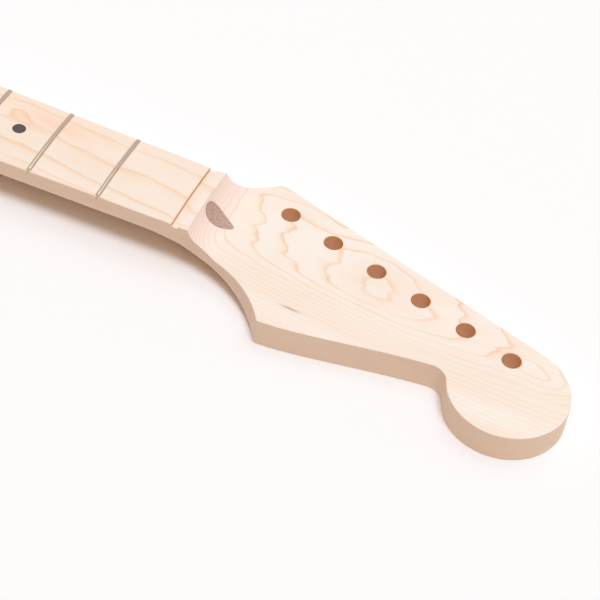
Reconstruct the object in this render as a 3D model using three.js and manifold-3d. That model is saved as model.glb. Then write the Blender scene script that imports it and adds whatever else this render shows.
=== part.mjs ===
// One-piece maple electric guitar neck with 21 frets and a six-in-line headstock.
// Units are millimetres. +X runs from the heel to the headstock, +Y to the bass side and +Z up
// through the board. The origin is the middle of the heel's four-screw pattern, on its back face.
import * as THREE from 'three';
import { mergeVertices } from 'three/addons/utils/BufferGeometryUtils.js';
import Module from 'manifold-3d';

const wasm = await Module();
wasm.setup();
const { degToRad, lerp, smoothstep, clamp } = THREE.MathUtils;

// Board and frets
const FRET_COUNT = 21;
const SCALE_LENGTH = 647.7;
const BOARD_END_MARGIN = 5.3;
const BOARD_RADIUS = 241.3;
const NUT_WIDTH = 42;
const HEEL_WIDTH = 56;
const FRET_WIDTH = 2.2;
const FRET_HEIGHT = 1.1;
const FRET_FOOT = 0.2;
const FRET_END_INSET = 0.25;
const FRET_END_ANGLE = degToRad(32);
const TANG_WIDTH = 0.55;
const TANG_DEPTH = 1.7;

// Heel and shaft
const HEEL_THICKNESS = 25.4;
const HEEL_LENGTH = 76.2;
const HEEL_CORNER_RADIUS = 5;
const HEEL_RUN = 52;
const SCREW_SPACING_X = 50.8;
const SCREW_SPACING_Y = 38.1;
const PILOT_DIAMETER = 3.2;
const PILOT_DEPTH = 17;
const FIRST_FRET_THICKNESS = 20.4;
const TWELFTH_FRET_THICKNESS = 22.2;
const BOARD_SIDE_HEIGHT = 3.2;

// Nut slot, lip and scoop
const NUT_SLOT_WIDTH = 3.3;
const NUT_SLOT_DEPTH = 1.5;
const LIP_LENGTH = 4.2;
const LIP_DROP = 0.3;
const SCOOP_RADIUS = 17;

// Headstock; places along it are measured from the end of the board at the nut
const HEAD_THICKNESS = 14.2;
const BALL_STATION = 165.6;
const BALL_OFFSET = 31;
const BALL_RADIUS = 27.3;
const BALL_THROAT_RADIUS = 8;
const BASS_EDGE_ANGLE = degToRad(16.6);
const BASS_FLARE_START = 1.5;
const BASS_FLARE_RADIUS = 24;
const BASS_FLARE_ANGLE = degToRad(38);
const BASS_CORNER_RADIUS = 5;
const TREBLE_CURVE_START = 8;
const TREBLE_CURVE_RADIUS = 53.2;
const TREBLE_CURVE_ANGLE = degToRad(59.2);
const TREBLE_CORNER_RADIUS = 1.8;
const LOWER_EDGE_START_ANGLE = degToRad(3);
const LOWER_EDGE_END_ANGLE = degToRad(6.5);
const LOWER_EDGE_END_OFFSET = 33.8;
const LOWER_EDGE_START_PULL = 22;
const LOWER_EDGE_END_PULL = 28;
const TUNER_COUNT = 6;
const TUNER_SPACING = 25;
const TUNER_HOLE_DIAMETER = 8.8;
const TUNER_INSET = 12.9;
const FIRST_TUNER_SETBACK = 14.6;

// Back carve where the shaft runs out into the heel and the headstock
const BACK_DROP_BEFORE_NUT = 16;
const BACK_DROP_PAST_NUT = 17;
const CARVE_FADE_PAST_NUT = 3;
const CARVE_FADE_SHARE = 0.9;
const CARVE_END_RADIUS = 0.3;
const BACK_FLAT_SHARE = 0.03;

// Inlays
const FACE_DOT_DIAMETER = 6.35;
const FACE_DOT_DEPTH = 2;
const SIDE_DOT_DIAMETER = 2;
const SIDE_DOT_DEPTH = 3;
const SIDE_DOT_BELOW_EDGE = 2.1;
const OCTAVE_FACE_SPACING = 19;
const OCTAVE_SIDE_SPACING = 8;
const OCTAVE_FRET_COUNT = 12;
const SINGLE_DOT_FRET_COUNTS = [3, 5, 7, 9, 15, 17, 19, 21];

// Truss rod, its channel and the wood that closes it
const ROD_DIAMETER = 4.76;
const ROD_HOLE_DIAMETER = 5.6;
const CHANNEL_WIDTH = 6.35;
const CHANNEL_HEEL_SETBACK = 56;
const CHANNEL_HEAD_SETBACK = 14;
const ROD_LOW_SHARE = 0.57;
const FILLET_LEAST_THICKNESS = 3.1;
const PLUG_BORE_DIAMETER = 10.5;
const PLUG_AXIS_DEPTH = 7.8;
const PLUG_TILT = degToRad(5);
const ANCHOR_SETBACK = 8;
const ANCHOR_LENGTH = 7;
const ANCHOR_DIAMETER = 9.8;
const ROD_REACH_IN_ANCHOR = 5.5;
const NUT_BORE_DIAMETER = 9.8;
const NUT_BORE_DEPTH = 17;
const ROD_NUT_DIAMETER = 9;
const ROD_NUT_LENGTH = 14;
const ROD_NUT_SOCKET_DEPTH = 10.5;
const ROD_NUT_DOME = 1.2;
const ROD_REACH_IN_NUT = 9;
const DRIVER_SLOT_WIDTH = 1.3;
const DRIVER_SLOT_DEPTH = 2;
const WASHER_THICKNESS = 1.2;
const METAL_CHAMFER = 0.5;

// Clearances and the overrun that lets a cut pass through a face
const INLAY_GAP = 0.1;
const FRET_GAP = 0.05;
const SEAT_GAP = 0.1;
const ROD_GAP = 0.3;
const CARVE_CLEARANCE = 0.05;
const OVERRUN = 2;

// How finely round forms are faceted
const BOARD_FACETS = 9;
const CROWN_STEPS = 4;
const HOLE_STEPS = 24;
const DOT_STEPS = 16;
const PILOT_STEPS = 12;
const BALL_STEPS = 32;
const CURVE_STEPS = 14;
const CORNER_STEPS = 5;
const CARVE_CORNER_STEPS = 8;
const HEEL_RUN_STEPS = 12;
const HEAD_RUN_STEPS = 22;
const ROD_SIDES = 10;
const ROD_STEPS = 13;

// Places that follow from the driving dimensions
const fretDistance = (n) => SCALE_LENGTH * (1 - 2 ** (-n / OCTAVE_FRET_COUNT));
const boardLength = fretDistance(FRET_COUNT) + BOARD_END_MARGIN;
const heelEnd = -HEEL_LENGTH / 2;
const heelFront = HEEL_LENGTH / 2;
const nutX = heelEnd + boardLength;
const fretX = (n) => nutX - fretDistance(n);
const dotX = (n) => (fretX(n - 1) + fretX(n)) / 2;
const boardTaper = (HEEL_WIDTH - NUT_WIDTH) / 2 / boardLength;
const halfWidth = (x) => NUT_WIDTH / 2 + (nutX - x) * boardTaper;
const crownCentre = HEEL_THICKNESS - BOARD_RADIUS;
const crownHeight = (y) => crownCentre + Math.sqrt(BOARD_RADIUS ** 2 - y ** 2);
const lipEnd = nutX + NUT_SLOT_WIDTH + LIP_LENGTH;
const scoopRise = HEEL_THICKNESS - LIP_DROP - HEAD_THICKNESS;
const scoopEnd = lipEnd + Math.sqrt(SCOOP_RADIUS ** 2 - (SCOOP_RADIUS - scoopRise) ** 2);
const ball = new THREE.Vector2(nutX + BALL_STATION, -BALL_OFFSET);
const headTip = ball.x + BALL_RADIUS;
const rodRadius = ROD_DIAMETER / 2;
const rodHeelHeight = HEEL_THICKNESS / 2;
const rodNutFloor = heelEnd + NUT_BORE_DEPTH;
const washerFace = rodNutFloor - SEAT_GAP - WASHER_THICKNESS;
const rodNutFace = washerFace - SEAT_GAP;
const channelHeel = heelEnd + CHANNEL_HEEL_SETBACK;
const channelHead = nutX - CHANNEL_HEAD_SETBACK;

// Materials
const paint = (color, roughness, metalness) =>
  new THREE.MeshStandardMaterial({ color, roughness, metalness });
const maple = paint(0xf6e4cc, 0.62, 0);
const walnut = paint(0x9c7f72, 0.6, 0);
const inlayBlack = paint(0x4a4442, 0.4, 0);
const nickelSilver = paint(0xb4b0a6, 0.28, 1);
const steel = paint(0x8f9194, 0.38, 1);

// The signed volume of an indexed mesh, negative when its faces point inwards.
function signedVolume(position, index) {
  const [a, b, c] = [new THREE.Vector3(), new THREE.Vector3(), new THREE.Vector3()];
  let sum = 0;
  for (let i = 0; i < index.length; i += 3) {
    a.fromBufferAttribute(position, index[i]);
    b.fromBufferAttribute(position, index[i + 1]);
    c.fromBufferAttribute(position, index[i + 2]);
    sum += a.dot(b.cross(c));
  }
  return sum / 6;
}

// Turns a closed geometry into a solid that can be joined and cut.
function solid(geometry) {
  geometry.deleteAttribute('normal');
  geometry.deleteAttribute('uv');
  const merged = mergeVertices(geometry);
  const corners = [];
  for (let i = 0; i < merged.index.count; i += 3) {
    const face = [0, 1, 2].map((k) => merged.index.getX(i + k));
    if (new Set(face).size === 3) corners.push(...face);
  }
  if (signedVolume(merged.attributes.position, corners) < 0) corners.reverse();
  const vertProperties = Float32Array.from(merged.attributes.position.array);
  const triVerts = Uint32Array.from(corners);
  return new wasm.Manifold(new wasm.Mesh({ numProp: 3, vertProperties, triVerts }));
}

function geometryOf(body) {
  const mesh = body.getMesh();
  const geometry = new THREE.BufferGeometry();
  geometry.setAttribute('position', new THREE.BufferAttribute(mesh.vertProperties, 3));
  geometry.setIndex(new THREE.BufferAttribute(mesh.triVerts, 1));
  geometry.computeVertexNormals();
  return geometry;
}

const joined = (bodies) => bodies.reduce((sum, body) => sum.add(body));

// A closed skin through rings of equally many points, filled in at its first and last ring.
// flatten drops the coordinate that the rings follow each other along.
function loft(rings, flatten) {
  const turned = THREE.ShapeUtils.isClockWise(rings[0].map(flatten));
  const ordered = turned ? rings.map((ring) => [...ring].reverse()) : rings;
  const count = ordered[0].length;
  const last = (ordered.length - 1) * count;
  const index = [];
  for (let start = 0; start < last; start += count) {
    for (let i = 0; i < count; i++) {
      const a = start + i;
      const b = start + ((i + 1) % count);
      index.push(a, b, b + count, a, b + count, a + count);
    }
  }
  const firstCap = THREE.ShapeUtils.triangulateShape(ordered[0].map(flatten), []);
  for (const [a, b, c] of firstCap) index.push(a, c, b);
  const lastCap = THREE.ShapeUtils.triangulateShape(ordered.at(-1).map(flatten), []);
  for (const [a, b, c] of lastCap) index.push(last + a, last + b, last + c);
  const geometry = new THREE.BufferGeometry().setFromPoints(ordered.flat());
  geometry.setIndex(index);
  return solid(geometry);
}

const alongX = (p) => new THREE.Vector2(p.y, p.z);
const alongY = (p) => new THREE.Vector2(p.x, p.z);

// A prism of a plan outline between two heights.
function plate(outline, from, to) {
  const geometry = new THREE.ExtrudeGeometry(new THREE.Shape(outline), {
    depth: to - from,
    bevelEnabled: false,
  });
  return solid(geometry.translate(0, 0, from));
}

// A prism across the neck, of a profile whose second coordinate is the height.
function crossPlate(profile, width) {
  const geometry = new THREE.ExtrudeGeometry(new THREE.Shape(profile), {
    depth: width,
    bevelEnabled: false,
  });
  return solid(geometry.translate(0, 0, -width / 2).rotateX(Math.PI / 2));
}

// A round bar between two points.
function bar(from, to, diameter, steps) {
  const axis = new THREE.Vector3().subVectors(to, from);
  const geometry = new THREE.CylinderGeometry(diameter / 2, diameter / 2, axis.length(), steps);
  const upright = new THREE.Vector3(0, 1, 0);
  geometry.applyQuaternion(new THREE.Quaternion().setFromUnitVectors(upright, axis.normalize()));
  const middle = new THREE.Vector3().addVectors(from, to).multiplyScalar(1 / 2);
  return solid(geometry.translate(...middle));
}

// Evenly spaced values from one to another, both ends included.
function stations(from, to, steps) {
  return Array.from({ length: steps + 1 }, (_, i) => lerp(from, to, i / steps));
}

function arc(centre, radius, from, to, steps) {
  return Array.from({ length: steps + 1 }, (_, i) => {
    const angle = lerp(from, to, i / steps);
    return new THREE.Vector2(Math.cos(angle), Math.sin(angle)).multiplyScalar(radius).add(centre);
  });
}

// A point at a distance from another, in the direction of a heading.
function walk(from, heading, distance) {
  const step = new THREE.Vector2(Math.cos(heading), Math.sin(heading));
  return step.multiplyScalar(distance).add(from);
}

// The arc that rounds a left-hand corner of an outline.
function roundedCorner(corner, headingIn, headingOut, radius) {
  const quarter = Math.PI / 2;
  const setback = radius * Math.tan((headingOut - headingIn) / 2);
  const centre = walk(walk(corner, headingIn, -setback), headingIn + quarter, radius);
  return arc(centre, radius, headingIn - quarter, headingOut - quarter, CORNER_STEPS);
}

// Sides of the shaft and the curves that lead them out into the headstock

const bassFlareX = nutX + BASS_FLARE_START;
const bassFlareCentre = new THREE.Vector2(bassFlareX, halfWidth(bassFlareX) + BASS_FLARE_RADIUS);
const bassFlareEnd = walk(bassFlareCentre, BASS_FLARE_ANGLE - Math.PI / 2, BASS_FLARE_RADIUS);
const bassEdgeEnd = walk(ball, Math.PI / 2 - BASS_EDGE_ANGLE, BALL_RADIUS);
const trebleCurveX = nutX + TREBLE_CURVE_START;
const trebleCurveCentre = new THREE.Vector2(
  trebleCurveX,
  -halfWidth(trebleCurveX) - TREBLE_CURVE_RADIUS,
);
const trebleCorner = walk(trebleCurveCentre, Math.PI / 2 - TREBLE_CURVE_ANGLE, TREBLE_CURVE_RADIUS);

// Where the flare's straight end meets the long bass edge of the headstock.
function findBassCorner() {
  const flareSlope = Math.tan(BASS_FLARE_ANGLE);
  const edgeSlope = -Math.tan(BASS_EDGE_ANGLE);
  const rise = bassEdgeEnd.y - bassFlareEnd.y - edgeSlope * (bassEdgeEnd.x - bassFlareEnd.x);
  const run = rise / (flareSlope - edgeSlope);
  return new THREE.Vector2(bassFlareEnd.x + run, bassFlareEnd.y + run * flareSlope);
}
const bassCorner = findBassCorner();

// How far the bass side lies from the middle: board edge, flare arc, then the flare's straight end.
function bassSide(x) {
  if (x < bassFlareX) return halfWidth(x);
  if (x > bassFlareEnd.x) return bassFlareEnd.y + (x - bassFlareEnd.x) * Math.tan(BASS_FLARE_ANGLE);
  return bassFlareCentre.y - Math.sqrt(BASS_FLARE_RADIUS ** 2 - (x - bassFlareX) ** 2);
}

// How far the treble side lies from the middle: board edge, then the long curve to the point.
function trebleSide(x) {
  if (x < trebleCurveX) return halfWidth(x);
  const across = Math.sqrt(TREBLE_CURVE_RADIUS ** 2 - (x - trebleCurveX) ** 2);
  return -trebleCurveCentre.y - across;
}

// The lower edge of the headstock, from the treble point to the throat beside the ball.
function lowerEdge(start, end) {
  const curve = new THREE.CubicBezierCurve(
    start,
    walk(start, LOWER_EDGE_START_ANGLE, LOWER_EDGE_START_PULL),
    walk(end, LOWER_EDGE_END_ANGLE, -LOWER_EDGE_END_PULL),
    end,
  );
  return curve.getPoints(CURVE_STEPS).slice(1, -1);
}

// The whole plan outline, anticlockwise from the heel's treble corner.
function neckOutline() {
  const taper = Math.atan(boardTaper);
  const quarter = Math.PI / 2;
  const heelTreble = new THREE.Vector2(heelEnd, -HEEL_WIDTH / 2);
  const heelBass = new THREE.Vector2(heelEnd, HEEL_WIDTH / 2);
  const point = roundedCorner(
    trebleCorner,
    -TREBLE_CURVE_ANGLE,
    LOWER_EDGE_START_ANGLE,
    TREBLE_CORNER_RADIUS,
  );
  const pointTurn = (TREBLE_CURVE_ANGLE + LOWER_EDGE_START_ANGLE) / 2;
  const trimmed = (TREBLE_CORNER_RADIUS * Math.tan(pointTurn)) / TREBLE_CURVE_RADIUS;
  const curveEnd = quarter - TREBLE_CURVE_ANGLE + trimmed;
  const throatY = -LOWER_EDGE_END_OFFSET - BALL_THROAT_RADIUS;
  const reach = BALL_RADIUS + BALL_THROAT_RADIUS;
  const throatX = ball.x - Math.sqrt(reach ** 2 - (ball.y - throatY) ** 2);
  const throat = new THREE.Vector2(throatX, throatY);
  const towardsBall = Math.atan2(ball.y - throatY, ball.x - throatX);
  const throatArc = arc(
    throat,
    BALL_THROAT_RADIUS,
    quarter + LOWER_EDGE_END_ANGLE,
    towardsBall,
    CORNER_STEPS,
  );
  const edgeTop = quarter - BASS_EDGE_ANGLE + 2 * Math.PI;
  return [
    ...roundedCorner(heelTreble, -quarter, taper, HEEL_CORNER_RADIUS),
    ...arc(trebleCurveCentre, TREBLE_CURVE_RADIUS, quarter, curveEnd, CURVE_STEPS).slice(0, -1),
    ...point,
    ...lowerEdge(point.at(-1), throatArc[0]),
    ...throatArc.slice(0, -1),
    ...arc(ball, BALL_RADIUS, towardsBall + Math.PI, edgeTop, BALL_STEPS),
    ...roundedCorner(
      bassCorner,
      Math.PI - BASS_EDGE_ANGLE,
      Math.PI + BASS_FLARE_ANGLE,
      BASS_CORNER_RADIUS,
    ),
    ...arc(bassFlareCentre, BASS_FLARE_RADIUS, BASS_FLARE_ANGLE - quarter, -quarter, CORNER_STEPS),
    ...roundedCorner(heelBass, Math.PI - taper, Math.PI + quarter, HEEL_CORNER_RADIUS),
  ];
}

// Angles about the crown's centre line at which the board's facets meet.
const crownReach = Math.asin((HEEL_WIDTH / 2 + OVERRUN) / BOARD_RADIUS);
const crownAngles = Array.from({ length: BOARD_FACETS + 1 }, (_, i) =>
  lerp(-crownReach, crownReach, i / BOARD_FACETS),
);

// A point on the crown's arc, raised above the board's surface or sunk below it.
function onCrown(x, angle, rise) {
  const radius = BOARD_RADIUS + rise;
  return new THREE.Vector3(x, radius * Math.sin(angle), crownCentre + radius * Math.cos(angle));
}

// Everything above the crown, lowered by a drop, over a stretch of the board.
function aboveCrown(from, to, drop) {
  const ring = (x) => {
    const surface = crownAngles.map((angle) => onCrown(x, angle, -drop));
    const [first, last] = [surface[0], surface.at(-1)];
    const top = HEEL_THICKNESS + 2 * OVERRUN;
    return [...surface, new THREE.Vector3(x, last.y, top), new THREE.Vector3(x, first.y, top)];
  };
  return loft([ring(from), ring(to)], alongX);
}

// Everything above the scoop and the headstock's face.
function aboveHead() {
  const centre = new THREE.Vector2(scoopEnd, HEAD_THICKNESS + SCOOP_RADIUS);
  const bottom = -Math.PI / 2;
  const lipRise = scoopRise + LIP_DROP + OVERRUN;
  const left = -Math.acos(clamp((lipRise - SCOOP_RADIUS) / SCOOP_RADIUS, -1, 1)) - Math.PI / 2;
  const profile = [
    ...arc(centre, SCOOP_RADIUS, left, bottom, CURVE_STEPS),
    new THREE.Vector2(headTip + OVERRUN, HEAD_THICKNESS),
    new THREE.Vector2(headTip + OVERRUN, HEEL_THICKNESS + 2 * OVERRUN),
    new THREE.Vector2(scoopEnd, HEEL_THICKNESS + 2 * OVERRUN),
  ];
  const width = 2 * (trebleCorner.distanceTo(bassCorner) + BALL_RADIUS);
  return crossPlate(profile, width);
}

// How fully the shaft's round back is carved: none at the heel, full from there on.
const heelFade = (x) => smoothstep(x, heelFront, heelFront + HEEL_RUN);

// Height of the middle of the back above the plane of the heel and the headstock.
function backHeight(x) {
  const first = HEEL_THICKNESS - FIRST_FRET_THICKNESS;
  const twelfth = HEEL_THICKNESS - TWELFTH_FRET_THICKNESS;
  const along = (x - fretX(1)) / (fretX(OCTAVE_FRET_COUNT) - fretX(1));
  const headFade = 1 - smoothstep(x, nutX - BACK_DROP_BEFORE_NUT, nutX + BACK_DROP_PAST_NUT);
  return lerp(-CARVE_CLEARANCE, lerp(first, twelfth, along), heelFade(x) * headFade);
}

// One quarter of the round back, from the side to the middle. Past the nut the rounding shrinks
// along the curve that leads the side out, until it ends at the headstock's corner.
function carveQuarter(x, side, cornerX) {
  const edge = (side > 0 ? bassSide(x) : trebleSide(x)) + CARVE_CLEARANCE;
  const back = backHeight(x);
  const fadeStart = nutX + CARVE_FADE_PAST_NUT;
  const left = clamp((cornerX - x) / (cornerX - fadeStart), 0, 1);
  const amount = heelFade(x) * left ** CARVE_FADE_SHARE;
  const fullAcross = halfWidth(Math.min(x, fadeStart)) * (1 - BACK_FLAT_SHARE);
  const across = lerp(CARVE_END_RADIUS, fullAcross, amount);
  const up = lerp(CARVE_END_RADIUS, HEEL_THICKNESS - BOARD_SIDE_HEIGHT - back, amount);
  return Array.from({ length: CARVE_CORNER_STEPS + 1 }, (_, i) => {
    const angle = (Math.PI / 2) * (i / CARVE_CORNER_STEPS);
    const y = edge - across * (1 - Math.cos(angle));
    return new THREE.Vector3(x, side * y, back + up * (1 - Math.sin(angle)));
  });
}

// Everything outside the round back, between the heel and the headstock's corners.
function outsideBack() {
  const ring = (x) => {
    const bass = carveQuarter(x, 1, bassCorner.x);
    const treble = carveQuarter(x, -1, trebleCorner.x).reverse();
    const [bassTop, trebleTop] = [bass[0], treble.at(-1)];
    const bassOut = bassTop.y + OVERRUN;
    const trebleOut = trebleTop.y - OVERRUN;
    return [
      new THREE.Vector3(x, bassOut, bassTop.z),
      ...bass,
      ...treble,
      new THREE.Vector3(x, trebleOut, trebleTop.z),
      new THREE.Vector3(x, trebleOut, -OVERRUN),
      new THREE.Vector3(x, bassOut, -OVERRUN),
    ];
  };
  const dropStart = nutX - BACK_DROP_BEFORE_NUT;
  const heelStations = stations(heelFront, heelFront + HEEL_RUN, HEEL_RUN_STEPS);
  const headStations = stations(dropStart, trebleCorner.x + OVERRUN, HEAD_RUN_STEPS);
  return loft([...heelStations, ...headStations].map(ring), alongX);
}

// The neck's outer form: plan outline, crowned board, nut slot, lip, scoop, headstock and back.
function neckForm() {
  return plate(neckOutline(), 0, HEEL_THICKNESS + OVERRUN)
    .subtract(aboveCrown(heelEnd - OVERRUN, nutX, 0))
    .subtract(aboveCrown(nutX, scoopEnd, LIP_DROP))
    .subtract(aboveCrown(nutX, nutX + NUT_SLOT_WIDTH, NUT_SLOT_DEPTH))
    .subtract(aboveHead())
    .subtract(outsideBack());
}

// The rod's path: straight from the adjusting nut, low under the middle of the board, then
// straight again along the slanting axis of the plug and the anchor.
const headTiltSlope = Math.tan(PLUG_TILT);
const plugAxisHeight = (x) => HEEL_THICKNESS - PLUG_AXIS_DEPTH + (x - nutX) * headTiltSlope;
const rodLowX = lerp(heelEnd, nutX, ROD_LOW_SHARE);
const rodLowHeight = backHeight(rodLowX) + FILLET_LEAST_THICKNESS + ROD_GAP + rodRadius;
const rodKnots = [
  { x: channelHeel, z: rodHeelHeight, slope: 0 },
  { x: rodLowX, z: rodLowHeight, slope: 0 },
  { x: channelHead, z: plugAxisHeight(channelHead), slope: headTiltSlope },
];

// A cubic between two knots that keeps each knot's height and slope.
function hermite(x, a, b) {
  const span = b.x - a.x;
  const t = (x - a.x) / span;
  const blend = t * t * (3 - 2 * t);
  const leave = t * (1 - t) ** 2 * span * a.slope;
  const arrive = t * t * (t - 1) * span * b.slope;
  return lerp(a.z, b.z, blend) + leave + arrive;
}

function rodHeight(x) {
  const [heel, low, head] = rodKnots;
  if (x < heel.x) return heel.z;
  if (x < low.x) return hermite(x, heel, low);
  if (x < head.x) return hermite(x, low, head);
  return plugAxisHeight(x);
}

const channelStations = [
  ...stations(channelHeel, rodLowX, ROD_STEPS),
  ...stations(rodLowX, channelHead, ROD_STEPS).slice(1),
];

// A point on the plug's axis, measured from above the end of the board.
function onPlugAxis(distance) {
  const x = nutX + distance * Math.cos(PLUG_TILT);
  return new THREE.Vector3(x, 0, plugAxisHeight(x));
}

// A strip with round ends in plan, along the channel.
function channelPlan(inset) {
  const radius = CHANNEL_WIDTH / 2 - inset;
  const quarter = Math.PI / 2;
  const reach = CHANNEL_WIDTH / 2;
  const heel = new THREE.Vector2(channelHeel + reach, 0);
  const head = new THREE.Vector2(channelHead - reach, 0);
  return [
    ...arc(heel, radius, quarter, 3 * quarter, 2 * CORNER_STEPS),
    ...arc(head, radius, -quarter, quarter, 2 * CORNER_STEPS),
  ];
}

// The strip's plan carried up from below the back to a distance above or below the rod's path.
function channelStrip(inset, offset) {
  const [first, last] = [channelStations[0], channelStations.at(-1)];
  const top = channelStations.map((x) => new THREE.Vector2(x, rodHeight(x) + offset));
  const under = [
    new THREE.Vector2(last, -OVERRUN),
    new THREE.Vector2(first, -OVERRUN),
  ];
  return plate(channelPlan(inset), -OVERRUN, HEEL_THICKNESS).intersect(
    crossPlate([...top, ...under], CHANNEL_WIDTH + OVERRUN),
  );
}

function fretSlot(x) {
  const side = TANG_WIDTH / 2 + FRET_GAP;
  const ring = (angle) => [
    onCrown(x - side, angle, OVERRUN),
    onCrown(x + side, angle, OVERRUN),
    onCrown(x + side, angle, -TANG_DEPTH - FRET_GAP),
    onCrown(x - side, angle, -TANG_DEPTH - FRET_GAP),
  ];
  return loft(crownAngles.map(ring), alongY);
}

// Every dot on the board: its name, its place along the neck and its place across it.
function dotPlaces(octaveAcross, octaveAlong) {
  const singles = SINGLE_DOT_FRET_COUNTS.map((n) => ({ fret: n, tag: '', x: dotX(n), y: 0 }));
  const pair = [-1, 1].map((side) => ({
    fret: OCTAVE_FRET_COUNT,
    tag: side < 0 ? '_a' : '_b',
    x: dotX(OCTAVE_FRET_COUNT) + (side * octaveAlong) / 2,
    y: (side * octaveAcross) / 2,
  }));
  return [...singles, ...pair].sort((a, b) => a.fret - b.fret);
}
const faceDots = dotPlaces(OCTAVE_FACE_SPACING, 0);
const sideDots = dotPlaces(0, OCTAVE_SIDE_SPACING);

function faceDotBar({ x, y }, gap) {
  const bottom = crownHeight(y) - FACE_DOT_DEPTH + gap;
  const from = new THREE.Vector3(x, y, bottom);
  const to = new THREE.Vector3(x, y, HEEL_THICKNESS + OVERRUN);
  return bar(from, to, FACE_DOT_DIAMETER - 2 * gap, DOT_STEPS);
}

function sideDotBar({ x }, gap) {
  const side = halfWidth(x);
  const z = crownHeight(side) - SIDE_DOT_BELOW_EDGE;
  const from = new THREE.Vector3(x, side - SIDE_DOT_DEPTH + gap, z);
  const to = new THREE.Vector3(x, side + OVERRUN, z);
  return bar(from, to, SIDE_DOT_DIAMETER - 2 * gap, PILOT_STEPS);
}

function tunerHole(n) {
  const along = FIRST_TUNER_SETBACK + n * TUNER_SPACING;
  const onEdge = walk(bassCorner, -BASS_EDGE_ANGLE, along);
  const centre = walk(onEdge, -BASS_EDGE_ANGLE - Math.PI / 2, TUNER_INSET);
  const from = new THREE.Vector3(centre.x, centre.y, -OVERRUN);
  const to = new THREE.Vector3(centre.x, centre.y, HEAD_THICKNESS + OVERRUN);
  return bar(from, to, TUNER_HOLE_DIAMETER, HOLE_STEPS);
}

function pilotHoles() {
  const signs = [-1, 1];
  return signs.flatMap((i) => signs.map((j) => {
    const [x, y] = [(i * SCREW_SPACING_X) / 2, (j * SCREW_SPACING_Y) / 2];
    const from = new THREE.Vector3(x, y, -OVERRUN);
    return bar(from, new THREE.Vector3(x, y, PILOT_DEPTH), PILOT_DIAMETER, PILOT_STEPS);
  }));
}

// Counterbore for the adjusting nut, and the hole that takes the rod from it to the channel.
function heelBores() {
  const at = (x) => new THREE.Vector3(x, 0, rodHeelHeight);
  const mouth = at(heelEnd - OVERRUN);
  return [
    bar(mouth, at(rodNutFloor), NUT_BORE_DIAMETER, HOLE_STEPS),
    bar(mouth, at(channelHeel + OVERRUN), ROD_HOLE_DIAMETER, HOLE_STEPS),
  ];
}

// Bore for the anchor and its plug, and the hole that takes the rod from it to the channel.
function headBores() {
  const seat = onPlugAxis(-ANCHOR_SETBACK);
  const beyond = onPlugAxis(scoopEnd - nutX + PLUG_BORE_DIAMETER);
  const inChannel = onPlugAxis(-CHANNEL_HEAD_SETBACK - OVERRUN);
  return [
    bar(seat, beyond, PLUG_BORE_DIAMETER, HOLE_STEPS),
    bar(inChannel, onPlugAxis(0), ROD_HOLE_DIAMETER, HOLE_STEPS),
  ];
}

const fretNumbers = Array.from({ length: FRET_COUNT }, (_, i) => i + 1);

function neckBlank(form) {
  const cuts = [
    ...fretNumbers.map((n) => fretSlot(fretX(n))),
    ...faceDots.map((dot) => faceDotBar(dot, 0)),
    ...sideDots.map((dot) => sideDotBar(dot, 0)),
    ...Array.from({ length: TUNER_COUNT }, (_, n) => tunerHole(n)),
    ...pilotHoles(),
    ...heelBores(),
    ...headBores(),
    channelStrip(0, rodRadius + ROD_GAP),
  ];
  return form.subtract(joined(cuts));
}

// A fret: a low crown with slanting ends on a tang that fills its slot.
function fret(n) {
  const half = FRET_WIDTH / 2;
  const tang = TANG_WIDTH / 2;
  const crown = Array.from({ length: CROWN_STEPS + 1 }, (_, i) => {
    const angle = (Math.PI * i) / CROWN_STEPS;
    const rise = FRET_FOOT + (FRET_HEIGHT - FRET_FOOT) * Math.sin(angle);
    return [-half * Math.cos(angle), rise];
  });
  const section = [
    [-tang, -TANG_DEPTH],
    [-tang, FRET_GAP],
    [-half, FRET_GAP],
    ...crown,
    [half, FRET_GAP],
    [tang, FRET_GAP],
    [tang, -TANG_DEPTH],
  ];
  const side = halfWidth(fretX(n) + half);
  const endAngle = (rise) => {
    const inset = rise < 0 ? FRET_GAP : FRET_END_INSET + rise * Math.tan(FRET_END_ANGLE);
    return Math.asin((side - inset) / (BOARD_RADIUS + rise));
  };
  const inner = crownAngles.filter((angle) => Math.abs(angle) < endAngle(FRET_HEIGHT));
  const endRing = (sign) => section.map(([dx, rise]) => onCrown(dx, sign * endAngle(rise), rise));
  const rings = inner.map((angle) => section.map(([dx, rise]) => onCrown(dx, angle, rise)));
  return loft([endRing(-1), ...rings, endRing(1)], alongY);
}

// A round rod that follows its path through the neck.
function trussRod() {
  const heelTip = rodNutFace - ROD_REACH_IN_NUT + SEAT_GAP;
  const headTipX = onPlugAxis(ROD_REACH_IN_ANCHOR - ANCHOR_SETBACK).x;
  const ring = (x) => {
    const rise = rodHeight(x + rodRadius) - rodHeight(x - rodRadius);
    const tilt = Math.atan2(rise, ROD_DIAMETER);
    return Array.from({ length: ROD_SIDES }, (_, i) => {
      const angle = (2 * Math.PI * i) / ROD_SIDES;
      const up = rodRadius * Math.sin(angle);
      const across = rodRadius * Math.cos(angle);
      return new THREE.Vector3(x - up * Math.sin(tilt), across, rodHeight(x) + up * Math.cos(tilt));
    });
  };
  return loft([heelTip, ...channelStations, headTipX].map(ring), alongX);
}

// Turned parts are drawn as half profiles: distance from the axis, then distance along it.
function turned(profile) {
  const points = profile.map(([radius, along]) => new THREE.Vector2(radius, along));
  return solid(new THREE.LatheGeometry(points, HOLE_STEPS));
}

function ringProfile(inner, outer, length, chamfer) {
  return [
    [inner, 0],
    [outer - chamfer, 0],
    [outer, chamfer],
    [outer, length - chamfer],
    [outer - chamfer, length],
    [inner, length],
    [inner, 0],
  ];
}

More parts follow.
